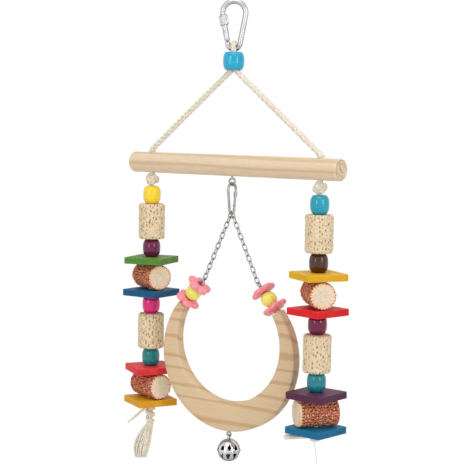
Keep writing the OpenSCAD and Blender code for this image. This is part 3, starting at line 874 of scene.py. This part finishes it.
def make_plate(node, turn, colours):
    middle, _ = box_of(node)
    half, thick = PLATE_SIDE / 2, PLATE_THICK / 2
    outline = square_outline(half, PLATE_CORNER)
    upper = [(share, 0, thick) for share in (0, 0.02, 0.2, 0.4, 0.6, 0.8, 0.93)]
    upper += [(1, 1.0, thick), (1, 0.45, thick), (1, 0.13, thick - 0.12), (1, 0, thick - 0.42)]
    upper += [(1, 0, thick - 1.1), (1, 0, thick * 0.3)]
    rows = [(0, 0, 0)] + upper + [(share, inset, -z) for share, inset, z in upper[::-1]]
    points = []
    seed = Vector((sum(map(ord, node)) % 53, turn, 3.7))
    for spot in outline:
        hole = spot.normalized() * STRING_BORE
        for share, inset, z in rows:
            x, y = hole.lerp(spot * (1 - inset / half), share)
            if share > 0.01:
                bend = PLATE_BEND * noise.noise(Vector((x / 9, y / 9, z / 9)) + seed)
                x, y = x * (1 + bend / half), y * (1 + bend / half)
                z += bend * (abs(z) > thick - 0.5)
            points.append((x, y, z))
    faces = net(len(outline), len(rows), wrap_rows=True)
    look = plate_look(node + "_stain", *colours, half, PLATE_THICK)
    piece(node + "_sawn", points, faces, look, node, node, placed(middle, turn), crisp=True)


for node, turn, colours in (
    ("left_green_plate", 15, ((82, 143, 54), (50, 106, 34), (160, 142, 62))),
    ("left_blue_plate", 2, ((14, 90, 134), (8, 58, 98), (24, 118, 148))),
    ("left_red_plate", -30, ((234, 50, 54), (198, 24, 34), (234, 82, 78))),
    ("left_ochre_plate", -25, ((232, 170, 24), (206, 128, 8), (232, 184, 60))),
    ("right_yellow_plate", -29, ((236, 184, 22), (212, 144, 10), (242, 196, 52))),
    ("right_red_plate", -11, ((234, 30, 36), (200, 14, 22), (238, 60, 56))),
    ("right_purple_plate", -3, ((88, 40, 70), (56, 20, 46), (118, 64, 96))),
    ("right_blue_plate", -5, ((10, 114, 154), (4, 78, 118), (28, 142, 176))),
):
    make_plate(node, turn, colours)


# ---- cobs


def pits(length, first, along, radius, around, columns, gap_along, size, seed, stretch=1.0):
    """How deep each point of a cob is in a pit, 0 to 1: staggered columns of pits.

    The cob has around rows of length points, and the points from first on lie along it.
    """
    rng, kinds = np.random.RandomState(seed), 64
    jitter = rng.uniform(-0.28, 0.28, (columns, kinds, 2))
    depth = rng.uniform(0.5, 1.0, (columns, kinds))
    width = rng.uniform(0.75, 1.25, (columns, kinds))
    gap_round = TURN * radius / columns
    round_, along = np.meshgrid(full_turn(around) * radius, along, indexing="ij")
    column = np.floor(round_ / gap_round).astype(int)
    best = np.zeros_like(along)
    for dc in (-1, 0, 1):
        c = column + dc
        wrapped = c % columns
        row = np.floor(along / gap_along - 0.5 * (wrapped % 2)).astype(int)
        for dr in (-1, 0, 1):
            r = (row + dr) % kinds
            u = (c + 0.5 + jitter[wrapped, r, 0]) * gap_round
            v = (row + dr + 0.5 + 0.5 * (wrapped % 2) + jitter[wrapped, r, 1]) * gap_along
            gap = np.hypot((round_ - u) / stretch, along - v) / (size * width[wrapped, r])
            best = np.maximum(best, np.clip(1.25 - gap, 0, 1) * depth[wrapped, r])
    pit = np.zeros((around, length))
    pit[:, first:first + along.shape[1]] = best * best * (3 - 2 * best)
    return pit


def make_tan_cob(node, seed):
    middle, size = box_of(node)
    radius, half = size.x / 2, size.z / 2
    around, columns, ease = 176, 22, 2.4
    zs = np.linspace(half - ease, -half + ease, 68)
    rim = [(radius - ease + ease * sin(a), half - ease + ease * cos(a)) for a in (0.3, 0.75, 1.2)]
    outer = rim + [(radius, z) for z in zs] + [(r, -z) for r, z in rim[::-1]]
    wide = radius - 2.6 - STRING_BORE
    end = [(STRING_BORE + wide * k / 5, half) for k in range(1, 6)]
    profile = [(STRING_BORE, z) for z in (-half, 0, half)] + end + outer
    profile += [(r, -half) for r, _ in end[::-1]]
    along = half - np.array([z for _, z in outer])
    pit = pits(len(profile), 8, along, radius, around, columns, 4.3, 1.95, seed, 0.55)

    def change(angle, i, r, z):
        if i < 3:
            return r, z
        j = round(angle / TURN * around) % around
        v = Vector((*circle(radius, angle), z + seed * 31))
        rough = 0.5 * noise.noise(v * 0.7) + 0.34 * noise.noise(v * 0.22)
        ridge = 0.22 * cos(columns * angle + pi)
        r += rough + ridge * (abs(z) < half - 1) - 1.15 * pit[j, i] - 0.28
        if abs(z) > half - 0.01:
            z -= copysign(0.15 + 0.35 * abs(noise.noise(v * 0.6)), z)
        return r, z

    points, faces = turned(profile, around, change)
    marks = {"pit": pit.ravel()}
    piece(node + "_cut", points, faces, tan_cob, node, node, placed(middle), marks)


def drilled(made, radius, at):
    """The piece with a round hole through it along Z."""
    sides, reach = 32, 40
    points = [(*circle(radius, a), z) for z in (-reach, reach) for a in full_turn(sides)]
    carved(made, points, closed(2, sides), at)


def carved(made, points, faces, at):
    """The piece without what lies inside a closed form."""
    mesh = bpy.data.meshes.new("drill")
    mesh.from_pydata(points, [], faces)
    mesh.transform(Matrix.Scale(MM, 4) @ at)
    face_outward(mesh)
    drill = add_object("drill", mesh)
    cut = made.modifiers.new("drill", "BOOLEAN")
    cut.operation, cut.solver, cut.object = "DIFFERENCE", "MANIFOLD", drill
    bpy.context.view_layer.update()
    seen = made.evaluated_get(bpy.context.evaluated_depsgraph_get())
    result = bpy.data.meshes.new_from_object(seen)
    made.modifiers.clear()
    made.data = result
    bpy.data.objects.remove(drill)


def make_red_cob(node, turn, seed, pale_start=0.0):
    """A cob on its side: chaff round it, and a ragged cream heart at both ends."""
    middle, _ = box_of(node)
    radius, half = 13.1, 19.5
    around, columns = 168, 26
    xs = np.linspace(-half + 0.6, half - 0.6, 84)
    bevel = (radius - 0.5, half - 0.15)
    side = [(bevel[0], -bevel[1])] + [(radius, x) for x in xs] + [bevel]
    shares = (0.94, 0.88, 0.82, 0.76, 0.68, 0.58, 0.46, 0.32, 0.18, 0.05)
    end = [(radius * s, half) for s in shares]
    profile = [(r, -x) for r, x in end[::-1]] + side + end
    first = len(end)
    along = np.array([x for _, x in side]) + half
    pit = pits(len(profile), first, along, radius, around, columns, 2.55, 1.5, seed)
    core, heart = np.zeros((2, around, len(profile)))
    points = []
    for j, angle in enumerate(full_turn(around)):
        shift = 1.7 * lump(angle * 3, seed, 0)
        tooth = 0.5 + 0.5 * cos(columns * angle + shift)
        reach = 0.8 + 0.16 * tooth + 0.05 * lump(angle * 7, seed, 5)
        for i, (r, x) in enumerate(profile):
            flat = Vector((x + seed * 17, *circle(radius, angle)))
            rough = 0.5 * noise.noise(flat * 0.75) + 0.3 * noise.noise(flat * 1.9)
            if first <= i < first + len(side):
                r += rough - 1.25 * pit[j, i] - 0.35
                core[j, i] = 0.85 * (x < -half + pale_start * (0.8 + 0.4 * tooth))
            else:
                share = r / radius
                ray = max(0, lump(angle * 11, seed + 2 * share, 3))
                ray *= min(1, 3 * share)
                core[j, i] = min(1, max(0, (reach - share) / 0.07 + 0.5)) * (1 - 0.75 * ray)
                edge = 0.56 + 0.09 * lump(angle * 5, seed, 9)
                heart[j, i] = min(1, max(0, (edge - share) / 0.2 + 0.5))
                x += copysign(0.35 * rough - 0.9 * max(0, share - 0.7) * (1 - tooth), x)
                r += 0.35 * rough * share - 0.9 * share * (share > 0.9) * (1 - tooth)
            points.append((x, *circle(r, angle)))
    points = np.array(points)
    points[:, 0] = np.clip(points[:, 0], -half, half)
    made = piece(
        node + "_cut", points, barrel(around, len(profile)), red_cob, node, node,
        placed(middle, turn), {"pit": pit.ravel(), "core": core.ravel(), "heart": heart.ravel()},
    )
    drilled(made, STRING_BORE, Matrix.Translation(middle))


COBS = (("left_upper", -23), ("left_lower", -17), ("right_upper", -42), ("right_lower", 53))
tan_cob, red_cob = tan_cob_look(), red_cob_look()
for seed, (place, _) in enumerate(COBS, 1):
    make_tan_cob(place + "_tan_cob", seed)
for seed, (place, turn) in enumerate(COBS, 11):
    make_red_cob(place + "_red_cob", turn, seed, 2.5 if place == "right_lower" else 0)


# ---- the perch

PERCH_LENGTH = 250.0
PERCH_HOLE_R = 3.1
CRACK = radians(128)


def crack_depth(y, z, r):
    """How deep a place on the near end is in the drying crack, 0 to 1."""
    across = abs(y * sin(CRACK) - z * cos(CRACK) + 0.6 * sin(r))
    along = y * cos(CRACK) + z * sin(CRACK)
    return max(0, 1 - across / 0.75) * (-4.6 < along < 5.2)


def make_perch():
    half, around = PERCH_LENGTH / 2, 96
    rounded = [(half, 1.3), (half - 0.25, 0.6), (half - 0.8, 0.2), (half - 1.8, 0.04)]
    ends = [(PERCH_R * share, half) for share in (0.9, 0.78, 0.64, 0.5, 0.36, 0.22, 0.08)]
    near = [(PERCH_R - inset, x) for x, inset in rounded[::-1]] + ends
    profile = [(r, -x) for r, x in near[::-1]]
    profile += [(PERCH_R, x) for x in np.linspace(-half + 3, half - 3, 120)] + near
    points, crack_shade = [], []
    for angle in full_turn(around):
        for i, (r, x) in enumerate(profile):
            y, z = circle(r, angle)
            bend = 1 + 0.16 / PERCH_R * lump(x / 26, y / 12, z / 12)
            on_end = min(i, len(profile) - 1 - i) < len(ends)
            deep = crack_depth(y, z, r) if x > half - 0.5 else 0.0
            hollow = 0.7 * deep + 0.12 * abs(lump(y, z, 4)) * on_end
            points.append((x - copysign(hollow, x), y * bend, z * bend))
            # painted shade: the crack is coloured dark as well as cut in
            crack_shade.append(0.9 * deep)
    look = pine_look(
        "perch_pine", 0.05, (0.004, 0.32, 0.62), (234, 210, 180), (215, 183, 144)
    )
    made = piece(
        "perch_dowel_turned", points, barrel(around, len(profile)), look, "hanger",
        "perch_dowel", placed((0, 0, PERCH_Z)), {"crack_shade": crack_shade}, crisp=True,
    )
    for s in (-1, 1):
        drilled(made, PERCH_HOLE_R, placed((s * HOLE_X, 0, PERCH_Z)))


make_perch()


# ---- the ring

RING_R = 74.5
OPENING_R = 58.3
OPENING_RISE = 12.1
RING_THICK = 12.0
TIP_ANGLE = 40.8
RING_TURN = 6.0
RING_Z = -337.2


def opening_at(angle):
    """How far the ring's opening reaches at an angle, from the middle of the outside."""
    off = OPENING_RISE * cos(angle)
    return OPENING_RISE * sin(angle) + sqrt(OPENING_R ** 2 - off ** 2)


def ring_row(angle, flatter=1):
    """The ring's section at an angle, with its edges rounded over by a millimetre."""
    half, ease = RING_THICK / 2, 1.0
    inner = opening_at(angle)
    corner = [(inner + ease, half), (inner + 0.3, half - 0.3), (inner, half - ease)]
    outer = [(RING_R - ease, half), (RING_R - 0.3, half - 0.3), (RING_R, half - ease)]
    flat = [(inner + (RING_R - inner) * share, half) for share in (0.25, 0.5, 0.75)]
    front = corner[::-1] + flat + outer
    section = [(inner, 0)] + front + [(RING_R, 0)] + [(r, -y) for r, y in front[::-1]]
    if flatter < 1:
        middle = (inner + RING_R) / 2
        section = [(middle + (r - middle) * 0.93, y * flatter) for r, y in section]
    return [(r * cos(angle), y, r * sin(angle)) for r, y in section]


def make_ring():
    """A crescent sawn from a board."""
    steps = 168
    start, end = radians(TIP_ANGLE), radians(180 - TIP_ANGLE) - TURN
    step = (end - start) / steps
    places = [0, 0.28, *range(1, steps), steps - 0.28, steps]
    rows = [ring_row(start + step * k, 0.9 if k in (0, steps) else 1) for k in places]
    moved = []
    for x, y, z in (point for row in rows for point in row):
        bend = 1 + 0.1 / 70 * lump(x / 18, y / 9, z / 18 + 5)
        moved.append((x * bend, y, z * bend))
    look = pine_look(
        "ring_pine", 0.06, (0.012, 0.1, 0.42), (224, 195, 157), (199, 161, 116)
    )
    piece(
        "swing_ring_sawn", moved, closed(len(rows), len(rows[0])), look,
        "swing", "swing_ring", placed((0, 0, RING_Z), RING_TURN),
        {"crack_shade": [0.0] * len(moved)}, crisp=True,
    )


make_ring()


# ---- flowers and lime beads

FLOWER_THICK = 5.0
PETALS = 5
PETAL_TURN = radians(18)
STACK_START = 3.3
STACK_GAP = 0.2
LIME_TALL = 14.6
LIME_WIDE = 15.8


def tip_place(s, up, degrees=0):
    """The place of a piece that far up the flower stack at a tip of the ring."""
    angle = radians(TIP_ANGLE)
    out = (RING_R + opening_at(angle)) / 2
    spot = Matrix.Translation((s * out * cos(angle), s * 0.65, RING_Z + out * sin(angle)))
    lean = Matrix.Rotation(-s * angle, 4, "Y")
    return placed((0, 0, 0), RING_TURN) @ spot @ lean @ placed((0, 0, up), degrees)


def off_petal(angle):
    """The angle from the middle of the nearest petal."""
    step = TURN / PETALS
    off = (angle - PETAL_TURN) % step
    return min(off, step - off)


def petal_reach(angle, petal=5.0, reach=8.0):
    off = off_petal(angle)
    return reach * cos(off) + sqrt(max(0, petal ** 2 - (reach * sin(off)) ** 2))


def make_flower(node, s, low, turn, collar):
    """Rows are (share of the petal's reach, or 0 for a fixed radius; that radius; height)."""
    around, thick = 120, FLOWER_THICK
    rows = [(0, 1.4, 0.0), (0, 1.4, thick - 2.4)]
    rows += [(0, 2.0, thick - 2.1), (0, 2.8, thick - 1.1), (0, 3.3, thick - 0.35)]
    edge = [(0.8, -0.1), (0.88, -0.3), (0.95, -0.75), (0.99, -1.4), (1.0, -2.0)]
    face = [(0.32, 0.0), (0.45, 0.0), (0.58, 0.0), (0.7, -0.02)] + edge
    rows += [(share, 0, thick + lift) for share, lift in face]
    rows += [(share, 0, -lift) for share, lift in edge[::-1] + [(0.6, 0.0), (0.4, 0.0)]]
    if collar:
        rows += [(0, 3.5, 0.0), (0, 3.4, -collar + 0.3), (0, 3.1, -collar), (0, 1.4, -collar)]
    points, hollow = [], []
    for angle in full_turn(around):
        reach = petal_reach(angle)
        crease = exp(-((off_petal(angle) - TURN / PETALS / 2) / 0.12) ** 2)
        for share, fixed, z in rows:
            r = fixed or share * reach
            if share and z > thick / 2:
                z -= 0.55 * crease * min(1, share * 1.3)
            points.append((*circle(r, angle), z))
            # painted shade: the middle recess and the face round it are marked for darkening, on
            # the upper side
            hollow.append(0.9 * max(0, 1 - max(0, r - 2.6) / 1.4) * (z > 0.2))
    faces = net(around, len(rows), wrap_rows=True)
    at = tip_place(s, low, turn)
    piece(node + "_moulded", points, faces, pink, node, node, at, {"hollow": hollow})


def make_lime(node, s, middle):
    profile = bead_profile(1.4, LIME_WIDE, LIME_TALL, LIME_WIDE / LIME_TALL, 0.4)
    points, faces = turned(profile, 56)
    rim = rim_of(points, LIME_TALL / 2, 1.2)
    piece(node + "_moulded", points, faces, lime, node, node, tip_place(s, middle), rim)


pink = pink_look()
lime = bead_look("lime_lacquer", (252, 246, 120), (236, 224, 84))
for side, s in SIDES:
    lime_low = STACK_START + FLOWER_THICK + STACK_GAP
    make_flower(f"{side}_lower_flower", s, STACK_START, 0, 3.1)
    make_lime(f"{side}_lime_bead", s, lime_low + LIME_TALL / 2)
    make_flower(f"{side}_upper_flower", s, lime_low + LIME_TALL + STACK_GAP, 30, 0)


# ---- metal


CROWN_R, CROWN_Z = 11.0, -8.5
FOOT_R, FOOT_Z = 5.9, -36.6
ROD_R, NOSE_R, SHOULDER_R, GATE_R, KNUCKLE_R = 2.5, 2.3, 2.56, 2.6, 2.85
SHOULDER_AT = CROWN_R * radians(22)
HINGE_PIN_R = 0.8
FIT = 0.3
BEVEL = 0.12
LEAN = asin((CROWN_R - FOOT_R) / (CROWN_Z - FOOT_Z))
ALONG = np.array((sin(LEAN), 0, -cos(LEAN)))
LEANING = Matrix.Rotation(-LEAN, 4, "Y")


def on_arc(radius, height, angle):
    """A point of the carabiner's crown or foot."""
    return np.array((radius * cos(angle), 0, height + radius * sin(angle)))


LEG_TOP, LEG_FOOT = on_arc(CROWN_R, CROWN_Z, -LEAN), on_arc(FOOT_R, FOOT_Z, -LEAN)
NOSE_END = on_arc(CROWN_R, CROWN_Z, pi + LEAN)
GATE_LONG = 0.84 * np.linalg.norm(LEG_FOOT - LEG_TOP)
HINGE = NOSE_END + GATE_LONG * ALONG


def make_sleeve():
    """The carabiner's lock sleeve, with straight fine flutes for the fingers."""
    node = "carabiner_lock_sleeve"
    half, wide, bore, flutes = 4.9, 4.15, 3.0, 26
    outer = [(bore + 0.15, half), (wide - 0.55, half), (wide - 0.15, half - 0.35)]
    outer += [(wide, half - inset) for inset in (0.8, 1.1, 1.4)]
    profile = [(bore, -half + 0.15), (bore, 0), (bore, half - 0.15)] + outer
    profile += [(wide, z) for z in np.linspace(half - 1.7, -half + 1.7, 9)]
    profile += [(r, -z) for r, z in outer[::-1]]

    def change(angle, i, r, z):
        if r > wide - 0.05 and abs(z) < half - 1.3:
            r -= 0.28 * (0.5 + 0.5 * cos(flutes * angle)) ** 2
        return r, z

    points, faces = turned(profile, flutes * 8, change)
    at = placed(box_of(node)[0], CARABINER_TURN) @ LEANING
    piece(node + "_knurled", points, faces, chrome, "lock_sleeve", node, at)


def tongue(around=64):
    """The flat bar that the gate turns on, with a round end and a hole for the pin."""
    half, wide, deep, round_end = 1.0, 1.7, KNUCKLE_R + 1, 1.9
    across, points = np.array((-ALONG[2], 0, ALONG[0])), []
    for y, bored in ((-half, False), (half, False), (half, True), (-half, True)):
        for angle in full_turn(around):
            x, z = cos(angle), sin(angle)
            reach = round_end
            if z < 0:
                reach = max(reach, min(wide / max(abs(x), 1e-6), deep / -z))
            size = HINGE_PIN_R if bored else reach
            points.append(HINGE + (across * x - ALONG * z) * size + (0, y, 0))
    return np.array(points), net(4, around, wrap_rows=True), np.zeros(len(points))


def make_carabiner_body():
    """The bent rod, from its nose over the crown and round the foot, and the tongue."""
    way, radii = [], []
    crown_long = CROWN_R * (pi + 2 * LEAN)
    for run in (0, BEVEL, *np.linspace(0.5, crown_long, 90)):
        way.append(on_arc(CROWN_R, CROWN_Z, pi + LEAN - run / CROWN_R))
        bulge = sqrt(max(0, SHOULDER_R ** 2 - (run - SHOULDER_AT) ** 2))
        radii.append(max(NOSE_R if run < SHOULDER_AT else ROD_R, bulge))
    way += [LEG_TOP + (LEG_FOOT - LEG_TOP) * t for t in np.linspace(0.05, 0.95, 14)]
    way += [on_arc(FOOT_R, FOOT_Z, -angle) for angle in np.linspace(LEAN, pi - LEAN, 34)]
    stub = HINGE + (KNUCKLE_R + FIT) * ALONG - way[-1]
    way += [way[-1] + stub * t for t in (0.4, 0.9, 1)]
    radii = np.array(radii + [ROD_R] * (len(way) - len(radii)))
    radii[[0, -1]] -= BEVEL
    points, faces, _ = joined([tube(np.array(way), radii, 48), tongue()])
    at = placed((0, 0, 0), CARABINER_TURN)
    piece("carabiner_body_bent", points, faces, chrome, "carabiner", "carabiner_body", at)


def make_gate():
    """A bar with a round knuckle, slotted over the tongue and drilled for the pin."""
    ball_from = GATE_LONG - sqrt(KNUCKLE_R ** 2 - GATE_R ** 2)
    ball_to = GATE_LONG + KNUCKLE_R * 0.997
    runs = np.array((
        FIT, FIT + BEVEL, *np.linspace(1, ball_from, 24),
        *np.linspace(ball_from + 0.05, ball_to - 0.2, 20), ball_to,
    ))
    ball = np.sqrt(np.maximum(0, KNUCKLE_R ** 2 - (runs - GATE_LONG) ** 2))
    radii = np.where(runs <= ball_from, GATE_R, ball)
    radii[0] -= BEVEL
    points, faces, _ = tube(NOSE_END + runs[:, None] * ALONG, radii, 48)
    turn = placed((0, 0, 0), CARABINER_TURN)
    node = "carabiner_gate"
    gate = piece(node + "_slotted", points, faces, chrome, node, node, turn)
    at_hinge = turn @ Matrix.Translation(HINGE)
    wide, slot = KNUCKLE_R + 1, 1.25
    corners = ((-wide, -slot), (wide, -slot), (wide, slot), (-wide, slot))
    box = [(x, y, z) for z in (-wide, KNUCKLE_R) for x, y in corners]
    carved(gate, box, closed(2, 4), at_hinge @ LEANING)
    drilled(gate, HINGE_PIN_R, at_hinge @ Matrix.Rotation(pi / 2, 4, "X"))


BELL_R = 11.0
BELL_SHELL = 0.9
BELL_SLOTS = 9
UPPER_SLOT_TURN = 25.7
LOWER_SLOT_TURN = 18.7


def bell_slot(turn, height):
    """How far a place is inside a drop-shaped slot: under 1 is inside. Both in degrees."""
    broad = 14.8 * (1 - ((height - 8) / 44) ** 1.1) if 8 < height < 52 else 0
    low = max(0.0, 14 - height) / 7
    return hypot(turn / broad, low) if broad > 0.3 else 9


def make_bell_half(node, s):
    """One half of the jingle bell, with drop-shaped slots that point to its pole."""
    middle, size = box_of("bell_lower_shell")
    centre = middle + Vector((0, 0, size.z / 2))
    around, rows = 180, 48
    lift = [0.4, 1.6, 3.2] + [4.6 + (89.2 - 4.6) * k / rows for k in range(rows + 1)]
    slot_turn = 360 / BELL_SLOTS

    def open_at(i, j):
        turn = (j + 0.5) * 360 / around - (UPPER_SLOT_TURN if s > 0 else LOWER_SLOT_TURN)
        off = (turn + slot_turn / 2) % slot_turn - slot_turn / 2
        return bell_slot(off, (lift[i] + lift[i + 1]) / 2) < 1

    count = len(lift)
    points = []
    for radius, ridge in ((BELL_R, 0.42), (BELL_R - BELL_SHELL, 0)):
        for i, height in enumerate(np.radians(lift)):
            out = (radius + ridge * (i < 3)) * cos(height)
            points += [(*circle(out, a), s * radius * sin(height)) for a in full_turn(around)]
    deep = count * around
    kept = [face for k, face in enumerate(net(count, around)) if not open_at(*divmod(k, around))]
    kept.append(tuple(range(deep - around, deep)))
    edges = {(a, b) for face in kept for a, b in zip(face, face[1:] + face[:1])}
    walls = [(b, a, a + deep, b + deep) for a, b in sorted(edges) if (b, a) not in edges]
    faces = kept + [tuple(k + deep for k in face[::-1]) for face in kept] + walls
    used = sorted({k for face in faces for k in face})
    new = {k: n for n, k in enumerate(used)}
    points = np.array([points[k] for k in used])
    faces = [tuple(new[k] for k in face) for face in faces]
    # the inner face is marked 1 here, and bell_look colours it near black as painted shade
    parts = [(points, faces, np.array([float(k >= deep) for k in used]))]
    if s > 0:
        loop, wire = 2.3, 0.8
        middle, size = box_of(node)
        up = middle.z + size.z / 2 - wire - loop - centre.z
        turns = np.radians(np.linspace(-52, 232, 40))
        way = [(0, loop * cos(a), up + loop * sin(a)) for a in turns]
        parts.append(tube(np.array(way), wire, 16))
    points, faces, inside = joined(parts)
    at = placed(centre, RING_TURN)
    piece(node + "_slotted", points, faces, bell_plate, "bell", node, at, {"inside": inside})


chrome, bell_plate, zinc, ball_steel = chrome_look(), bell_look(), zinc_look(), ball_look()
make_sleeve()
make_carabiner_body()
make_gate()
make_bell_half("bell_upper_shell", 1)
make_bell_half("bell_lower_shell", -1)
PLAIN_METAL = dict.fromkeys((
    "perch_screw_eye", "left_chain", "right_chain", "stack_screw_eyes", "bell_screw_eye",
    "snap_link_body", "snap_link_gate", "snap_link_pin",
), zinc) | {"carabiner_hinge_pin": chrome, "bell_ball": ball_steel}
for node, look in PLAIN_METAL.items():
    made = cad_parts[node]
    made.data.materials.clear()
    made.data.materials.append(look.material)


# ---- room and light


def make_floor():
    """A pale floor that keeps the shadow and turns to plain white further out."""
    size, z = 6.0, -0.62
    mesh = bpy.data.meshes.new("floor")
    corners = [(-size, -size, z), (size, -size, z), (size, size, z), (-size, size, z)]
    mesh.from_pydata(corners, [], [(0, 1, 2, 3)])
    floor = add_object("floor", mesh)
    look = Look("pale_floor", Roughness=0.9, Specular_IOR_Level=0, Base_Color=rgb(243, 243, 242))
    x, y, _ = look.axes(look.node("TexCoord", output=3))
    away = (x * x + y * y) ** 0.5
    glow = look.node("Emission")
    pale = Term(look, look.shader.outputs[0])
    look.finish("Material Output", away.between(0.2, 0.44) * look.seen_ray(), pale, glow)
    mesh.materials.append(look.material)


def make_world():
    """Soft light all round, with plain white behind the toy and in what it mirrors."""
    world = bpy.data.worlds.new("white_room")
    bpy.context.scene.world = world
    world.use_nodes = True
    room = Shading(world.node_tree)
    soft, white = (
        room.node("Background", None, {"Color": WHITE, "Strength": strength})
        for strength in (0.55, 1)
    )
    room.finish("World Output", room.seen_ray(), soft, white)


LAMP_AIM = Vector((0, 0, -0.22))


def make_lamp(name, place, size, power):
    lamp = bpy.data.lights.new(name, "AREA")
    lamp.shape, lamp.size, lamp.size_y = "RECTANGLE", size[0], size[1]
    lamp.energy = power
    made = add_object(name, lamp)
    made.location = place
    toward = LAMP_AIM - made.location
    made.rotation_euler = toward.to_track_quat("-Z", "Y").to_euler()


make_world()
make_floor()
make_lamp("top_box", (0.3, -0.5, 1.1), (1.0, 1.0), 7)
make_lamp("right_box", (1.5, -0.35, 0.15), (0.3, 0.8), 5)
make_lamp("left_box", (0.0, -1.55, 0.1), (0.3, 0.8), 4)

bpy.context.scene.view_settings.view_transform = "Standard"

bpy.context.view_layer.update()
